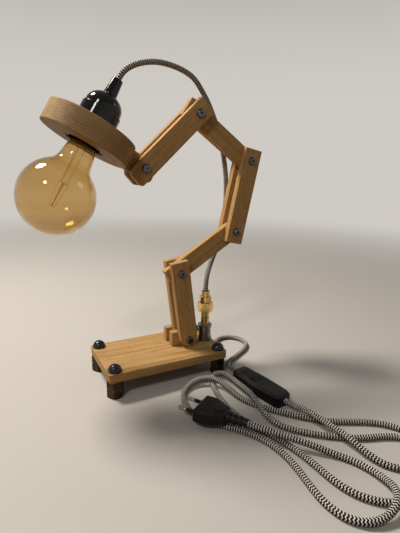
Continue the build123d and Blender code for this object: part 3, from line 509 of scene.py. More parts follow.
class Palette:
    """The lamp's finishes, each made into a material once."""

    BRASS = MetalFinish("brass", "brass", (0.86, 0.62, 0.24), (0.34, 0.19, 0.050),
                        tarnish_share=0.6, roughness=0.15, spread=0.12)
    COUPLING = MetalFinish("blackened_steel", "black_steel", (0.30, 0.31, 0.31), (0.075, 0.076, 0.074),
                           tarnish_share=0.75, roughness=0.30, spread=0.2)
    DOME = MetalFinish("black_dome", "black_steel", (0.020, 0.023, 0.022), (0.010, 0.012, 0.011),
                       tarnish_share=0.6, roughness=0.24, spread=0.14, metallic=0.35)
    FOOT_NUT = MetalFinish("olive_steel", "dark_steel", (0.072, 0.050, 0.026), (0.026, 0.018, 0.010),
                           tarnish_share=0.75, roughness=0.32, spread=0.2)
    PIVOT = MetalFinish("dark_steel", "dark_steel", (0.125, 0.132, 0.129), (0.040, 0.043, 0.042),
                        tarnish_share=0.7, roughness=0.25, spread=0.16)
    STEEL = MetalFinish("plain_steel", "plain_steel", (0.60, 0.61, 0.62), (0.34, 0.34, 0.33),
                        tarnish_share=0.5, roughness=0.28, spread=0.14)
    PIN = MetalFinish("pin_steel", "plain_steel", (0.42, 0.40, 0.37), (0.22, 0.21, 0.19),
                      tarnish_share=0.6, roughness=0.28, spread=0.14)
    HOLDER = MouldedFinish("gloss_black", "gloss_black", (0.003, 0.003, 0.0033), grey(0.006), roughness=0.10,
                           spread=0.05, specular=0.33, skin_scale=420.0, skin_depth=0.00003)
    MATTE = MouldedFinish("matte_black", "matte_black", (0.005, 0.005, 0.0052), (0.011, 0.0105, 0.010),
                          roughness=0.40, spread=0.14, specular=0.22)
    RUBBER = MouldedFinish("rubber", "rubber", grey(0.02), (0.05, 0.05, 0.048), roughness=0.75)
    CERAMIC = MouldedFinish("ceramic", "ceramic", (0.72, 0.70, 0.65), (0.55, 0.52, 0.47),
                            roughness=0.3, spread=0.15)
    AMBER = GlassFinish("amber_glass", "amber_glass", (0.825, 0.660, 0.390), (0.56, 0.30, 0.075))
    CLEAR = GlassFinish("clear_glass", "clear_glass", (0.99, 0.97, 0.92), (0.98, 0.95, 0.88))
    FILAMENT = MouldedFinish("filament", "filament", (0.85, 0.50, 0.10), (0.60, 0.34, 0.07),
                             roughness=0.45, spread=0.2, skin_scale=2600.0)
    BRAID = BraidFinish("zigzag_braid", "braid")
    JACKET = MouldedFinish("cord_jacket", "braid", grey(0.03), (0.07, 0.07, 0.066),
                           roughness=0.8, skin_scale=4000.0)

    _made: dict[str, Material] = {}

    @classmethod
    def material(cls, finish: Finish) -> Material:
        """Give a finish's material, made the first time that it is asked for."""
        if finish.name not in cls._made:
            cls._made[finish.name] = finish.make()
        return cls._made[finish.name]


class Workshop:
    """Makes meshes and pieces and reports them."""

    @staticmethod
    def lathe(name: str, profile: Sequence[tuple[float, float]], place: Matrix, sides: int,
              sharp_deg: float) -> Mesh:
        """Turn a closed outline about its axis.

        Args:
            name: the mesh's name.
            profile: radius and height of each point, in metres; a radius of 0 is a pole.
            place: puts the turned axis where the piece is.
            sides: steps round the axis.
            sharp_deg: edges that fold more than this stay sharp.

        Returns:
            The closed mesh.
        """
        work = bmesh.new()
        turns = [math.tau * i / sides for i in range(sides)]
        rings = []
        for radius, height in profile:
            spots = [Vector((radius * math.cos(turn), radius * math.sin(turn), height))
                     for turn in (turns if radius else turns[:1])]
            rings.append([work.verts.new(place @ spot) for spot in spots])
        for low, high in zip(rings, rings[1:] + rings[:1]):
            if len(low) == len(high) == 1:
                continue
            for i in range(sides):
                corners = [low[i % len(low)], low[(i + 1) % len(low)],
                           high[(i + 1) % len(high)], high[i % len(high)]]
                work.faces.new(list(dict.fromkeys(corners)))
        bmesh.ops.recalc_face_normals(work, faces=work.faces)
        return Workshop.settle(name, work, sharp_deg)

    @staticmethod
    def settle(name: str, work: bmesh.types.BMesh, sharp_deg: float) -> Mesh:
        """Shade a worked mesh smooth, but for its folds, and keep it.

        Args:
            name: the mesh's name.
            work: the worked mesh, freed here.
            sharp_deg: edges that fold more than this stay sharp.

        Returns:
            The mesh.
        """
        mesh = bpy.data.meshes.new(name)
        for edge in work.edges:
            edge.smooth = edge.calc_face_angle(0.0) < math.radians(sharp_deg)
        for face in work.faces:
            face.smooth = True
        work.to_mesh(mesh)
        work.free()
        return mesh

    @staticmethod
    def evaluate(obj: Object) -> Mesh:
        """Turn an object with live modifiers, or a bare curve, into a plain mesh."""
        depsgraph = bpy.context.evaluated_depsgraph_get()
        return bpy.data.meshes.new_from_object(obj.evaluated_get(depsgraph))

    @staticmethod
    def link(name: str, data: bpy.types.ID) -> Object:
        """Put new data into the scene as an object at the origin."""
        obj = bpy.data.objects.new(name, data)
        bpy.context.scene.collection.objects.link(obj)
        return obj

    @classmethod
    def grow(cls, name: str, tree: NodeTree, finish: Finish, inputs: dict[str, Any],
             seed: Mesh | None = None) -> Mesh:
        """Run a Geometry Nodes tree and keep its result as a plain mesh.

        Args:
            name: the result's name.
            tree: the Geometry Nodes tree.
            finish: its finish.
            inputs: its other named inputs.
            seed: the mesh that it starts from, if it needs one.

        Returns:
            The finished mesh.
        """
        given = {**inputs, "Finish": Palette.material(finish)}
        obj = cls.link(name + "_seed", seed or bpy.data.meshes.new(name + "_seed"))
        modifier = obj.modifiers.new("grow", "NODES")
        modifier.node_group = tree
        for item in tree.interface.items_tree:
            if item.in_out == "INPUT" and item.name in given:
                modifier[item.identifier] = given[item.name]
        mesh = cls.evaluate(obj)
        mesh.name = name
        obj.modifiers.remove(modifier)
        bpy.data.objects.remove(obj)
        return mesh

    @classmethod
    def piece(cls, name: str, mesh: Mesh, finish: Finish, body: Body | None,
              replaces: Sequence[str] = ()) -> Object:
        """Make a mesh a dressed piece of the lamp.

        Args:
            name: the piece's name.
            mesh: its finished mesh.
            finish: its finish.
            body: the body that carries it, or None if it bends between two.
            replaces: CAD nodes that it stands for.

        Returns:
            The piece.
        """
        obj = cls.link(name, mesh)
        mesh.materials.clear()
        mesh.materials.append(Palette.material(finish))
        if body is not None:
            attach(obj, body.value)
        if replaces:
            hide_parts(*replaces)
        LOG.info("piece %s: %d faces", name, len(mesh.polygons))
        return obj

    @staticmethod
    def dress(finish: Finish, *nodes: str) -> None:
        """Give CAD nodes a finish.

        Args:
            finish: the finish.
            nodes: names of the nodes.
        """
        for name in nodes:
            materials = frame["nodes"][name].data.materials
            materials.clear()
            materials.append(Palette.material(finish))
            LOG.info("node %s: %s", name, finish.name)


@dataclass(frozen=True)
class SoftLamp:
    """Round soft lamp; its share is how much of a fully lit surface it gives."""

    name: str
    place: Point
    size: float
    share: float
    colour: Colour


@dataclass
class Studio:
    """Camera at the photograph's view, pale floor and soft lamps."""

    eye: Point = (-0.17358, -0.44324, 0.2580)
    yaw_deg: float = 28.08
    pitch_deg: float = -14.22
    roll_deg: float = 1.25
    focal_px: float = 409.23
    frame_height_px: float = 533.0
    sensor_mm: float = 36.0
    clip_start: float = 0.01
    floor_half: float = 6.0
    floor_colour: Colour = (0.53, 0.51, 0.49)
    floor_bounce: Colour = (0.26, 0.160, 0.074)
    floor_roughness: float = 0.7
    floor_specular: float = 0.2
    floor_near: float = 0.45
    floor_far: float = 1.70
    backdrop: Colour = (0.62, 0.59, 0.55)
    ceiling: Colour = (0.27, 0.26, 0.25)
    ceiling_start: float = 0.12
    ceiling_end: float = 0.65
    ambient: Colour = (1.0, 0.97, 0.93)
    ambient_strength: float = 0.115
    centre: Point = (0.0, 0.0, 0.17)
    lamps: tuple[SoftLamp, ...] = (
        SoftLamp("key", (-0.46, 0.48, 1.20), size=0.34, share=1.35, colour=(1.0, 0.92, 0.80)),
        SoftLamp("fill", (-0.86, -0.74, 1.17), size=0.22, share=0.20, colour=(1.0, 0.95, 0.88)),
        SoftLamp("side", (1.2, -0.4, 0.9), size=0.40, share=0.03, colour=(1.0, 0.97, 0.94)),
    )

    def camera(self) -> None:
        """Stand the camera where the photograph was taken from."""
        yaw, pitch, roll = (math.radians(a) for a in (self.yaw_deg, self.pitch_deg, self.roll_deg))
        ahead = Vector((math.sin(yaw) * math.cos(pitch), math.cos(yaw) * math.cos(pitch), math.sin(pitch)))
        level = Vector((math.cos(yaw), -math.sin(yaw), 0.0))
        above = level.cross(ahead)
        right = level * math.cos(roll) + above * math.sin(roll)
        upward = above * math.cos(roll) - level * math.sin(roll)
        data = bpy.data.cameras.new("camera")
        data.sensor_width = self.sensor_mm
        data.lens = self.focal_px * self.sensor_mm / self.frame_height_px
        data.clip_start = self.clip_start
        obj = Workshop.link("camera", data)
        turn = Matrix((right, upward, -ahead)).transposed()
        obj.matrix_world = Matrix.Translation(self.eye) @ turn.to_4x4()
        bpy.context.scene.camera = obj

    def hang(self, lamp: SoftLamp) -> None:
        """Hang a lamp, turned to the middle of the object."""
        data = bpy.data.lights.new(lamp.name, "AREA")
        reach = Vector(self.centre) - Vector(lamp.place)
        data.shape = "DISK"
        data.size = lamp.size
        data.color = lamp.colour
        data.energy = lamp.share * math.pi ** 2 * reach.length_squared
        turn = reach.to_track_quat("-Z", "Y").to_matrix().to_4x4()
        Workshop.link(lamp.name, data).matrix_world = Matrix.Translation(lamp.place) @ turn

    @staticmethod
    def seen(sketch: NodeSketch) -> NodeSocket:
        """Tell the rays that show the backdrop from those that light the lamp."""
        rays = sketch.add("ShaderNodeLightPath").outputs
        shown = sketch.maths("MAXIMUM", rays["Is Camera Ray"], rays["Is Glossy Ray"])
        return sketch.maths("MAXIMUM", shown, rays["Is Transmission Ray"])

    @staticmethod
    def show(sketch: NodeSketch, share: NodeSocket, lit: Node, shown: Node, output: str) -> None:
        """Mix what is lit with what is only shown.

        Args:
            sketch: the nodes of the floor or the world.
            share: how much is only shown.
            lit: the shader that takes or gives light.
            shown: the shader that is only seen.
            output: name of the output node.
        """
        both = sketch.add("ShaderNodeMixShader", {0: share, 1: lit.outputs[0], 2: shown.outputs[0]})
        sketch.feed(sketch.tree.nodes[output], {"Surface": both.outputs[0]})

    def floor(self) -> None:
        """Lay the pale floor, which fades into the backdrop away from the lamp."""
        half = self.floor_half
        corners = [(-half, -half, 0.0), (half, -half, 0.0), (half, half, 0.0), (-half, half, 0.0)]
        mesh = bpy.data.meshes.new("floor")
        mesh.from_pydata(corners, [], [range(len(corners))])
        material = bpy.data.materials.new("pale_floor")
        material.use_nodes = True
        sketch = NodeSketch(material.node_tree)
        lit = sketch.tree.nodes["Principled BSDF"]
        seen = self.seen(sketch)
        sketch.feed(lit, {"Base Color": sketch.blend(seen, self.floor_bounce, self.floor_colour),
                          "Roughness": self.floor_roughness, "Specular IOR Level": self.floor_specular})
        place = sketch.add("ShaderNodeTexCoord").outputs["Object"]
        distance = sketch.add("ShaderNodeVectorMath", {0: place}, operation="LENGTH").outputs["Value"]
        far = sketch.fade(distance, self.floor_near, self.floor_far)
        shown = sketch.add("ShaderNodeEmission", {"Color": self.backdrop, "Strength": 1.0})
        self.show(sketch, sketch.maths("MULTIPLY", far, seen), lit, shown, "Material Output")
        mesh.materials.append(material)
        Workshop.link("floor", mesh)

    def world(self) -> None:
        """Give soft light from all round and a pale backdrop under a darker ceiling."""
        world = bpy.data.worlds.new("studio")
        bpy.context.scene.world = world
        world.use_nodes = True
        sketch = NodeSketch(world.node_tree)
        lit = sketch.tree.nodes["Background"]
        sketch.feed(lit, {"Color": self.ambient, "Strength": self.ambient_strength})
        heading = sketch.add("ShaderNodeTexCoord").outputs["Generated"]
        height = sketch.add("ShaderNodeSeparateXYZ", {0: heading}).outputs["Z"]
        climb = sketch.fade(height, self.ceiling_start, self.ceiling_end)
        colour = sketch.blend(climb, self.backdrop, self.ceiling)
        shown = sketch.add("ShaderNodeBackground", {"Color": colour, "Strength": 1.0})
        self.show(sketch, self.seen(sketch), lit, shown, "World Output")

    def build(self) -> None:
        """Set up the whole studio."""
        bpy.context.scene.view_settings.view_transform = "Standard"
        self.camera()
        self.floor()
        self.world()
        for lamp in self.lamps:
            self.hang(lamp)


@dataclass
class Timber:
    """Every wooden piece, each cut from its own place in the board."""

    arms: tuple[str, ...] = ("arm_1_near", "arm_1_far", "arm_2", "arm_3_near", "arm_3_far", "arm_4",
                             "arm_5_near", "arm_5_far")
    arm_angles: tuple[float, ...] = (97.8, 31.8, 78.1, 145.3, 223.4)
    head_angle: float = -30.0
    disc: str = "head_disc"
    # Darker, greyer oak tones for the disc alone; the darkening is painted shade.
    shaded_disc_pale: Colour = (0.440, 0.290, 0.138)
    shaded_disc_middle: Colour = (0.390, 0.252, 0.116)
    shaded_disc_dark: Colour = (0.300, 0.186, 0.080)
    board_step: float = 0.37
    lane_step: float = 0.013
    lane_start: float = -0.03
    lane_stride: int = 5
    lanes: int = 7
    layer_step: float = 0.017
    layer_start: float = -0.02
    layer_stride: int = 3
    layers: int = 5
    weld: float = 0.000001
    flat_deg: float = 1.0
    fold_deg: float = 50.0
    ease: float = 0.0005
    ease_steps: int = 2
    ease_round: float = 0.5
    shade_deg: float = 18.0

    def cut(self, name: str, angle: float, number: int) -> WoodFinish:
        """Give one piece its own stretch of grain.

        Args:
            name: the piece.
            angle: the way its grain runs in the lamp's plane.
            number: its number, which picks the stretch of board.

        Returns:
            The finish.
        """
        lane = self.lane_step * (number * self.lane_stride % self.lanes) + self.lane_start
        layer = self.layer_step * (number * self.layer_stride % self.layers) + self.layer_start
        tones = {}
        # The disc takes its darker tones, which paint in shade.
        if name == self.disc:
            tones = {"pale": self.shaded_disc_pale, "middle": self.shaded_disc_middle, "dark": self.shaded_disc_dark}
        return WoodFinish(f"oak_{name}", "oak", angle, (self.board_step * number, lane, layer), **tones)

    def eased(self, node: str) -> Mesh:
        """Copy a wooden node and ease its edges, as sanding does.

        Args:
            node: the CAD node.

        Returns:
            The eased mesh.
        """
        work = bmesh.new()
        work.from_mesh(frame["nodes"][node].data)
        bmesh.ops.remove_doubles(work, verts=work.verts, dist=self.weld)
        bmesh.ops.dissolve_limit(work, angle_limit=math.radians(self.flat_deg), verts=work.verts,
                                 edges=work.edges)
        folds = [edge for edge in work.edges
                 if edge.is_manifold and edge.calc_face_angle() > math.radians(self.fold_deg)]
        bmesh.ops.bevel(work, geom=folds, offset=self.ease, segments=self.ease_steps, profile=self.ease_round,
                        affect="EDGES", clamp_overlap=True)
        return Workshop.settle(node + "_eased", work, self.shade_deg)

    def build(self) -> None:
        """Ease and dress the plate, cheeks and laths, and dress the disc and its tongue."""
        pieces = [(name, Body.BASE, 0.0) for name in ("base_plate", "cheek_near", "cheek_far")]
        for name in self.arms:
            number = int(name.split("_")[1])
            pieces.append((name, Body(f"arm_{number}"), self.arm_angles[number - 1]))
        for number, (name, body, angle) in enumerate(pieces):
            Workshop.piece("eased_" + name, self.eased(name), self.cut(name, angle, number), body, [name])
        for number, name in enumerate((self.disc, "head_tongue"), start=len(pieces)):
            Workshop.dress(self.cut(name, self.head_angle, number), name)


class Metalwork:
    """Feet, pivots and the cord gland."""

    def build(self) -> None:
        """Dress the metal nodes."""
        Workshop.dress(Palette.DOME, "foot_bolts")
        Workshop.dress(Palette.FOOT_NUT, "foot_nuts_upper", "foot_nuts_lower")
        for level in ("lower", "middle", "upper"):
            Workshop.dress(Palette.PIVOT, f"pivot_bolts_{level}", f"pivot_nuts_{level}")
        Workshop.dress(Palette.PIVOT, "cheek_screws")
        Workshop.dress(Palette.COUPLING, "gland_coupling", "gland_stud", "gland_lock_nut")
        Workshop.dress(Palette.BRASS, "gland_nipple", "gland_hex", "gland_clamp")
        Workshop.dress(Palette.RUBBER, "gland_seal")
        Workshop.dress(Palette.JACKET, "lead_in_gland")


class CageTree:
    """Geometry Nodes tree that hangs bowed wires round a mast."""

    BENDS = 12
    WIRE_SIDES = 8
    RING_STEPS = 32

    @classmethod
    def build(cls) -> NodeTree:
        """Build the tree.

        Returns:
            The tree, with the inputs Wires, Top, End, Length, Bow, Wire, Mast and Finish.
        """
        sketch = GrowthSketch("wire_cage", Wires="Int", Top="Float", End="Float", Length="Float",
                              Bow="Float", Wire="Float", Mast="Float")
        given = sketch.given
        drop = sketch.maths("MULTIPLY", given["Length"], -1.0)
        wire = sketch.circle(given["Wire"], cls.WIRE_SIDES)

        line = sketch.shape("CurvePrimitiveLine", Start=sketch.point(X=given["Top"]),
                            End=sketch.point(X=given["End"], Z=drop))
        line = sketch.shape("ResampleCurve", Curve=line, Count=cls.BENDS)
        arch = sketch.maths("SINE", sketch.maths("MULTIPLY", sketch.shape("SplineParameter"), math.pi))
        bow = sketch.maths("MULTIPLY", arch, given["Bow"])
        line = sketch.shape("SetPosition", Geometry=line, Offset=sketch.point(X=bow))
        turn = sketch.maths(
            "DIVIDE", sketch.maths("MULTIPLY", sketch.shape("InputIndex"), math.tau), given["Wires"])
        wires = sketch.shape("InstanceOnPoints", Points=sketch.shape("Points", Count=given["Wires"]),
                             Instance=sketch.tube(line, wire), Rotation=sketch.point(Z=turn))

        mast = sketch.shape("CurvePrimitiveLine", Start=sketch.point(), End=sketch.point(Z=drop))
        shapes = [wires, sketch.tube(mast, sketch.circle(given["Mast"], cls.WIRE_SIDES))]
        for radius, height in ((given["Top"], 0.0), (given["End"], drop)):
            ring = sketch.tube(sketch.circle(radius, cls.RING_STEPS), wire)
            shapes.append(sketch.shape("Transform", Geometry=ring, Translation=sketch.point(Z=height)))
        join = sketch.add("GeometryNodeJoinGeometry")
        for shape in shapes:
            sketch.feed(join, {0: shape})
        return sketch.deliver(sketch.shape("SetShadeSmooth", Geometry=join.outputs[0]))


@dataclass
class LampHead:
    """Holder and globe lamp, along the head's own axis."""

    origin: Point = (-0.07530, 0.0, 0.27363)
    tilt_deg: float = 30.0
    globe_radius: float = 0.040
    globe_drop: float = 0.0604
    wall: float = 0.0009
    neck_radius: float = 0.0126
    neck_start: float = 0.0065
    neck_rim: float = 0.0015
    waist_radius: float = 0.0169
    waist_drop: float = 0.0145
    waist_lean_deg: float = 6.0
    neck_blend_deg: float = 34.0
    globe_steps: int = 72
    neck_steps: int = 14
    sides: int = 128
    sharp_deg: float = 35.0
    stem_end: float = -0.045
    cage_length: float = 0.0258
    cage_top: float = 0.0052
    cage_end: float = 0.0024
    cage_wires: int = 4
    cage_bow: float = 0.0005
    wire_radius: float = 0.00020
    mast_radius: float = 0.0005

    def place(self) -> Matrix:
        """Give the place of the head's axis, from the disc's lower face up."""
        return Matrix.Translation(self.origin) @ Matrix.Rotation(math.radians(self.tilt_deg), 4, "Y")

    def glass_outline(self, inset: float) -> list[tuple[float, float]]:
        """Draw the globe and its neck from the pole to the neck's rim.

        Args:
            inset: distance inside the outer face.

        Returns:
            Radius and height of each point.
        """
        globe, waist, neck = (
            radius - inset for radius in (self.globe_radius, self.waist_radius, self.neck_radius))
        blend, lean = math.radians(self.neck_blend_deg), math.radians(self.waist_lean_deg)
        points = [(0.0, -globe - self.globe_drop)]
        for step in range(1, self.globe_steps + 1):
            turn = (math.pi - blend) * step / self.globe_steps
            points.append((globe * math.sin(turn), -globe * math.cos(turn) - self.globe_drop))
        leaving = Vector((-math.cos(blend), math.sin(blend)))
        leaning = Vector((-math.sin(lean), math.cos(lean)))
        middle, rim = Vector((waist, -self.waist_drop)), Vector((neck, self.neck_start - self.neck_rim))
        points += self.sweep(Vector(points[-1]), leaving, middle, leaning)
        points += self.sweep(middle, leaning, rim, Vector((0.0, 1.0)))
        return points + [(neck, self.neck_start)]

    def sweep(self, start: Vector, leaving: Vector, end: Vector,
              arriving: Vector) -> list[tuple[float, float]]:
        """Draw a smooth curve between two points.

        Args:
            start: first point, which is left out.
            leaving: its direction there.
            end: last point.
            arriving: its direction there.

        Returns:
            Radius and height of each point.
        """
        pull = (end - start).length
        points = []
        for step in range(1, self.neck_steps + 1):
            t = step / self.neck_steps
            spot = (start * (2 * t ** 3 - 3 * t ** 2 + 1) + leaving * pull * (t ** 3 - 2 * t ** 2 + t)
                    + end * (3 * t ** 2 - 2 * t ** 3) + arriving * pull * (t ** 3 - t ** 2))
            points.append((spot.x, spot.y))
        return points

    def wire_cage(self) -> Mesh:
        """Hang the cage of glowing wires from the stem."""
        cage = Workshop.grow("wire_cage", CageTree.build(), Palette.FILAMENT, {
            "Wires": self.cage_wires, "Top": self.cage_top, "End": self.cage_end, "Length": self.cage_length,
            "Bow": self.cage_bow, "Wire": self.wire_radius, "Mast": self.mast_radius})
        cage.transform(self.place() @ Matrix.Translation((0.0, 0.0, self.stem_end)))
        return cage

    def build(self) -> None:
        """Blow the globe, hang its wires and dress the rest of the head."""
        outline = self.glass_outline(0.0) + self.glass_outline(self.wall)[::-1]
        glass = Workshop.lathe("globe", outline, self.place(), self.sides, self.sharp_deg)
        Workshop.piece("globe", glass, Palette.AMBER, Body.HEAD, ["bulb_glass"])
        Workshop.piece("wire_cage", self.wire_cage(), Palette.FILAMENT, Body.HEAD, ["bulb_filaments"])
        Workshop.dress(Palette.HOLDER, "holder_skirt", "holder_cap", "holder_grip")
        Workshop.dress(Palette.CERAMIC, "holder_insert")
        Workshop.dress(Palette.BRASS, "holder_shell", "holder_contact", "bulb_cap", "bulb_contact")
        Workshop.dress(Palette.CLEAR, "bulb_stem")


class RidgeTree:
    """Geometry Nodes tree that lays round ridges side by side."""

    SIDES = 12

    @classmethod
    def build(cls) -> NodeTree:
        """Build the tree.

        Returns:
            The tree, with the inputs Ridges, Pitch, Length, Radius and Finish.
        """
        sketch = GrowthSketch("ridges", Ridges="Int", Pitch="Float", Length="Float", Radius="Float")
        given = sketch.given
        half = sketch.maths("DIVIDE", given["Length"], 2.0)
        line = sketch.shape("CurvePrimitiveLine", Start=sketch.point(X=sketch.maths("MULTIPLY", half, -1.0)),
                            End=sketch.point(X=half))
        bar = sketch.tube(line, sketch.circle(given["Radius"], cls.SIDES))
        middle = sketch.maths("DIVIDE", sketch.maths("SUBTRACT", given["Ridges"], 1.0), 2.0)
        aside = sketch.maths(
            "MULTIPLY", sketch.maths("SUBTRACT", sketch.shape("InputIndex"), middle), given["Pitch"])
        points = sketch.shape("SetPosition", Geometry=sketch.shape("Points", Count=given["Ridges"]),
                              Offset=sketch.point(Y=aside))
        return sketch.deliver(sketch.shape("InstanceOnPoints", Points=points, Instance=bar))


@dataclass(frozen=True)
class Ridges:
    """A group of ridges on a shell, half sunk in its top."""

    name: str
    top: Point
    turn_deg: float
    offset: float
    lie_deg: float
    count: int
    pitch: float
    length: float
    radius: float

    def lay(self, tree: NodeTree) -> None:
        """Lay the ridges.

        Args:
            tree: the Geometry Nodes tree that makes them.
        """
        mesh = Workshop.grow(self.name, tree, Palette.MATTE, {
            "Ridges": self.count, "Pitch": self.pitch, "Length": self.length, "Radius": self.radius})
        shell = Matrix.Translation(self.top) @ Matrix.Rotation(math.radians(self.turn_deg), 4, "Z")
        lie = Matrix.Rotation(math.radians(self.lie_deg), 4, "Z")
        mesh.transform(shell @ Matrix.Translation((self.offset, 0.0, 0.0)) @ lie)
        Workshop.piece(self.name, mesh, Palette.MATTE, Body.BASE)


@dataclass
class SwitchAndPlug:
    """Rocker switch and two-pin plug on the mains cord."""

    grip: Ridges = Ridges("switch_ridges", (0.09405, -0.0975, 0.0135), turn_deg=-80.954, offset=-0.0200,
                          lie_deg=0.0, count=6, pitch=0.0021, length=0.0170, radius=0.00045)
    ribs: Ridges = Ridges("plug_ridges", (0.0345, -0.1600, 0.0203), turn_deg=123.9, offset=0.0435,
                          lie_deg=90.0, count=2, pitch=0.0044, length=0.0185, radius=0.0008)

    def build(self) -> None:
        """Dress the switch and the plug and lay their ridges."""
        Workshop.dress(Palette.MATTE, "switch_lower", "switch_upper", "switch_rocker", "plug_body",
                       "plug_relief", "plug_sleeves")
        Workshop.dress(Palette.STEEL, "switch_screws")
        Workshop.dress(Palette.PIN, "plug_pins")
        Workshop.dress(Palette.BRASS, "switch_contacts")
        tree = RidgeTree.build()
        self.grip.lay(tree)
        self.ribs.lay(tree)


class BraidTree:
    """Geometry Nodes tree that weaves a braided sleeve along a line."""

    RINGS_PER_BAND = 6
    SIDES_PER_ZIGZAG = 4
    FOLD = 0.36
    SINK = 1.2

    @classmethod
    def build(cls) -> NodeTree:
        """Build the tree.

        Returns:
            The tree, with the inputs Radius, Rings, Zigzags, Relief and Finish.
        """
        sketch = GrowthSketch("braided_sleeve", Radius="Float", Rings="Int", Zigzags="Int", Relief="Float")
        given = sketch.given
        index = sketch.shape("InputIndex")

        line = sketch.shape("MeshToCurve", Mesh=given["Geometry"])
        line = sketch.shape("ResampleCurve", Curve=line, Count=given["Rings"])
        bands = sketch.maths("DIVIDE", index, float(cls.RINGS_PER_BAND))
        line = sketch.shape("StoreNamedAttribute", Geometry=line, Name=Count.ALONG.value, Value=bands)

        sides = sketch.maths("MULTIPLY", given["Zigzags"], float(cls.SIDES_PER_ZIGZAG))
        half = cls.SIDES_PER_ZIGZAG / 2
        fold = sketch.maths("MULTIPLY", sketch.maths("PINGPONG", index, half), cls.FOLD / half)
        section = sketch.shape("StoreNamedAttribute", Geometry=sketch.circle(given["Radius"], sides),
                               Name=Count.ZIGZAG.value, Value=fold)

        tube = sketch.tube(line, section)
        along, zigzag = (sketch.shape("InputNamedAttribute", Name=count.value) for count in Count)
        yarn = sketch.maths("ABSOLUTE", sketch.maths("SINE", sketch.maths(
            "MULTIPLY", sketch.maths("ADD", along, zigzag), math.tau)))
        crown = sketch.maths("SINE", sketch.maths("MULTIPLY", zigzag, math.pi / cls.FOLD))
        proud = sketch.maths("SUBTRACT", sketch.maths("ADD", yarn, crown), cls.SINK)
        push = sketch.add("ShaderNodeVectorMath", {
            0: sketch.shape("InputNormal"), "Scale": sketch.maths("MULTIPLY", proud, given["Relief"])},
            operation="SCALE").outputs[0]
        tube = sketch.shape("SetPosition", Geometry=tube, Offset=push)
        return sketch.deliver(sketch.shape("SetShadeSmooth", Geometry=tube))


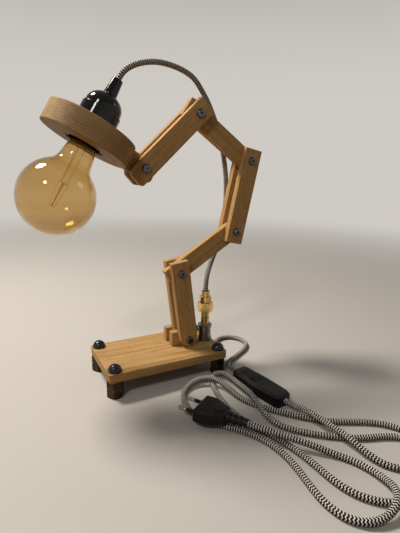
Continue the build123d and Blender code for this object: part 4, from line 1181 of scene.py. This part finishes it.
@dataclass
class BraidedCord:
    """Textile mains cord: its routes, and the sleeve woven along them."""

    diameter: float = 0.006
    band: float = 0.00265
    zigzags: int = 6
    relief: float = 0.00013
    line_steps: int = 24
    line_order: int = 3
    base_length: float = 0.2286
    mains_length: float = 1.5169
    lead_lengths: tuple[float, ...] = (0.0472, 0.0542, 0.0375, 0.0534, 0.0680, 0.1277)
    base_route: tuple[Point, ...] = (
        (0.0714, -0.0010, 0.0160), (0.0714, -0.0010, 0.0105), (0.0742, 0.0014, 0.0052),
        (0.0798, 0.0060, 0.0032), (0.0872, 0.0122, 0.00305), (0.0965, 0.0215, 0.00305),
        (0.1085, 0.0355, 0.00305), (0.1230, 0.0450, 0.00305), (0.1395, 0.0430, 0.00305),
        (0.1500, 0.0295, 0.00305), (0.1495, 0.0125, 0.00305), (0.1380, -0.0010, 0.00305),
        (0.1225, -0.0105, 0.00305), (0.1065, -0.0190, 0.0032), (0.0930, -0.0285, 0.0046),
        (0.08532, -0.04268, 0.0070), (0.0880, -0.0595, 0.0070),
    )
    mains_route: tuple[Point, ...] = (
        (0.1001, -0.1355, 0.0070), (0.10223, -0.14886, 0.0070), (0.1040, -0.1605, 0.0100),
        (0.1065, -0.1770, 0.0103), (0.1094, -0.1960, 0.0099), (0.1115, -0.2160, 0.0096),
        (0.1130, -0.2340, 0.0060), (0.1180, -0.2500, 0.0033), (0.1290, -0.2620, 0.00305),
        (0.1455, -0.2685, 0.00305), (0.1623, -0.2635, 0.00305), (0.1710, -0.2485, 0.00305),
        (0.1665, -0.2315, 0.00305), (0.1515, -0.2225, 0.00305), (0.1355, -0.2175, 0.00305),
        (0.1200, -0.2100, 0.00305), (0.1060, -0.2010, 0.00305), (0.0930, -0.1905, 0.00305),
        (0.0800, -0.1780, 0.00305), (0.0695, -0.1640, 0.0033), (0.0650, -0.1475, 0.0060),
        (0.0670, -0.1305, 0.0099), (0.0710, -0.1140, 0.0099), (0.0730, -0.0970, 0.0080),
        (0.0732, -0.0805, 0.0070), (0.0725, -0.0660, 0.0075), (0.0685, -0.0535, 0.0080),
        (0.0585, -0.0500, 0.0065), (0.0505, -0.0585, 0.0036), (0.0460, -0.0715, 0.00305),
        (0.0425, -0.0875, 0.00305), (0.0400, -0.1045, 0.00305), (0.0395, -0.1215, 0.00305),
        (0.0420, -0.1380, 0.00305), (0.0465, -0.1540, 0.00305), (0.0525, -0.1700, 0.00305),
        (0.0580, -0.1875, 0.00305), (0.0615, -0.2060, 0.00305), (0.0630, -0.2240, 0.00305),
        (0.0635, -0.2420, 0.00305), (0.0670, -0.2590, 0.00305), (0.0760, -0.2730, 0.00305),
        (0.0900, -0.2830, 0.00305), (0.1070, -0.2880, 0.00305), (0.1250, -0.2900, 0.00305),
        (0.1430, -0.2880, 0.00305), (0.1590, -0.2820, 0.00305), (0.1720, -0.2710, 0.00305),
        (0.1800, -0.2550, 0.00305), (0.1810, -0.2370, 0.00305), (0.1760, -0.2200, 0.00305),
        (0.1650, -0.2060, 0.00305), (0.1500, -0.1960, 0.00305), (0.1330, -0.1880, 0.00305),
        (0.1170, -0.1790, 0.00305), (0.1030, -0.1660, 0.00305), (0.0900, -0.1510, 0.00305),
        (0.0775, -0.1355, 0.00305), (0.0670, -0.1195, 0.00305), (0.0610, -0.1020, 0.0032),
        (0.0585, -0.0845, 0.0060), (0.0530, -0.0680, 0.0099), (0.0410, -0.0570, 0.0099),
        (0.0260, -0.0555, 0.0060), (0.0120, -0.0635, 0.0033), (0.0035, -0.0775, 0.00305),
        (0.0000, -0.0950, 0.00305), (0.0020, -0.1120, 0.00305), (0.0090, -0.1280, 0.00305),
        (0.0200, -0.1410, 0.00305), (0.0315, -0.1540, 0.00305), (0.0405, -0.1690, 0.00305),
        (0.0460, -0.1860, 0.00305), (0.0475, -0.2040, 0.00305), (0.0455, -0.2220, 0.00305),
        (0.0420, -0.2400, 0.00305), (0.0400, -0.2580, 0.00305), (0.0435, -0.2750, 0.00305),
        (0.0550, -0.2870, 0.0035), (0.0710, -0.2910, 0.0060), (0.0860, -0.2875, 0.0099),
        (0.0970, -0.2770, 0.0097), (0.1020, -0.2620, 0.0055), (0.1015, -0.2460, 0.0033),
        (0.0960, -0.2310, 0.00305), (0.0855, -0.2180, 0.0045), (0.0740, -0.2060, 0.0080),
        (0.0625, -0.1945, 0.0106), (0.0515, -0.1825, 0.0122), (0.04175, -0.17079, 0.0134),
        (0.0345, -0.1600, 0.0134),
    )
    lead_routes: tuple[tuple[Point, ...], ...] = (
        ((0.0714, -0.0010, 0.0981), (0.0714, -0.0010, 0.1075), (0.0754, 0.0026, 0.1202),
         (0.0835, 0.0085, 0.1325)),
        ((0.08825, 0.01175, 0.1385), (0.0930, 0.0150, 0.1445), (0.1020, 0.0205, 0.1590),
         (0.1085, 0.0240, 0.1760)),
        ((0.10975, 0.02425, 0.1855), (0.1110, 0.0245, 0.1950), (0.1115, 0.0230, 0.2135)),
        ((0.11075, 0.0220, 0.22275), (0.1100, 0.0210, 0.2320), (0.1075, 0.0200, 0.2495),
         (0.1040, 0.0200, 0.2665)),
        ((0.10175, 0.0200, 0.27525), (0.0995, 0.0200, 0.2840), (0.0940, 0.0200, 0.3000),
         (0.0865, 0.0195, 0.3155), (0.0780, 0.0180, 0.3295)),
        ((0.0725, 0.0165, 0.33575), (0.0670, 0.0150, 0.3420), (0.0560, 0.0115, 0.3525),
         (0.0400, 0.0080, 0.3585), (0.0230, 0.0045, 0.3613), (0.0070, 0.0018, 0.3619),
         (-0.0078, 0.0006, 0.3596), (-0.0208, 0.0000, 0.3552), (-0.03265, 0.0000, 0.34750),
         (-0.03765, 0.0000, 0.33884)),
    )
    tree: NodeTree = field(default_factory=BraidTree.build)

    def line(self, name: str, route: Sequence[Point]) -> Mesh:
        """Draw the smooth line of a route.

        Args:
            name: the cord's name.
            route: the spline's control points.

        Returns:
            The line as a mesh of points and edges.
        """
        curve = bpy.data.curves.new(name + "_line", "CURVE")
        curve.dimensions = "3D"
        curve.resolution_u = self.line_steps
        spline = curve.splines.new("NURBS")
        spline.points.add(len(route) - 1)
        for point, place in zip(spline.points, route):
            point.co = (*place, 1.0)
        spline.order_u = self.line_order
        spline.use_endpoint_u = True
        obj = Workshop.link(name + "_line", curve)
        mesh = Workshop.evaluate(obj)
        bpy.data.objects.remove(obj)
        return mesh

    def weave(self, name: str, route: Sequence[Point]) -> tuple[Mesh, list[Vector]]:
        """Weave the sleeve along a route.

        Args:
            name: the cord's name.
            route: the spline's control points.

        Returns:
            The sleeve and the points of its line.
        """
        line = self.line(name, route)
        points = [vertex.co.copy() for vertex in line.vertices]
        length = sum((b - a).length for a, b in zip(points, points[1:]))
        rings = round(length / self.band * BraidTree.RINGS_PER_BAND) + 1
        sleeve = Workshop.grow(name, self.tree, Palette.BRAID, {
            "Radius": self.diameter / 2, "Rings": rings, "Zigzags": self.zigzags, "Relief": self.relief},
            line)
        LOG.info("cord %s: %.1f mm", name, length / MM)
        return sleeve, points

    def table_cord(self, name: str, route: Sequence[Point]) -> None:
        """Lay one cord on the table.

        Args:
            name: the cord's name, also its CAD node's.
            route: the spline's control points.
        """
        sleeve, points = self.weave(name, route)
        piece = Workshop.piece("braided_" + name, sleeve, Palette.BRAID, Body.BASE, [name])

    def stretch(self, name: str, whole: Mesh, first: int, last: int) -> Mesh:
        """Cut a stretch out of a sleeve, with closed ends.

        Args:
            name: the stretch's name.
            whole: the sleeve.
            first: its first ring.
            last: its last ring.

        Returns:
            The stretch.
        """
        work = bmesh.new()
        work.from_mesh(whole)
        along = work.verts.layers.float[Count.ALONG.value]
        extra = [vert for vert in work.verts
                 if not first <= round(vert[along] * BraidTree.RINGS_PER_BAND) <= last]
        bmesh.ops.delete(work, geom=extra, context="VERTS")
        open_edges = [edge for edge in work.edges if edge.is_boundary]
        bmesh.ops.holes_fill(work, edges=open_edges, sides=0)
        mesh = bpy.data.meshes.new(name)
        work.to_mesh(mesh)
        work.free()
        return mesh

    def head_lead(self) -> None:
        """Hang the lead from the gland to the holder, cut where it passes from arm to arm."""
        route = [point for part in self.lead_routes for point in part]
        sleeve = self.weave("head_lead", route)[0]
        sides = self.zigzags * BraidTree.SIDES_PER_ZIGZAG
        places = [vertex.co for vertex in sleeve.vertices]
        rings = len(places) // sides
        centres = [sum(places[r * sides:(r + 1) * sides], Vector()) / sides for r in range(rings)]
        cuts = [0]
        for part in self.lead_routes[1:]:
            cuts.append(min(range(rings), key=lambda r: (centres[r] - Vector(part[0])).length))
        cuts.append(rings - 1)
        bodies = list(Body)
        for number, (first, last) in enumerate(zip(cuts, cuts[1:]), start=1):
            node = f"head_lead_{number}"
            mesh = self.stretch(node, sleeve, first, last)
            piece = Workshop.piece("braided_" + node, mesh, Palette.BRAID, None, [node])
            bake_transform(piece, bodies[number - 1].value, bodies[number].value, centres[first], centres[last])

    def build(self) -> None:
        """Make all the cords."""
        self.table_cord("cord_base", self.base_route)
        nodes = ("plug_relief", "plug_body", "plug_sleeves", "plug_pins")
        plug = [frame["nodes"][name] for name in nodes]
        plug.append(bpy.data.objects["plug_ridges"])
        self.table_cord("cord_mains", self.mains_route)
        self.head_lead()


def main() -> None:
    """Build the lamp, piece by piece, in its studio."""
    logging.basicConfig(level=logging.INFO, format="%(message)s")
    for assembly in (Studio(), Timber(), Metalwork(), LampHead(), SwitchAndPlug(), BraidedCord()):
        assembly.build()
        LOG.info("%s built", type(assembly).__name__)


if __name__ == "__main__":
    main()
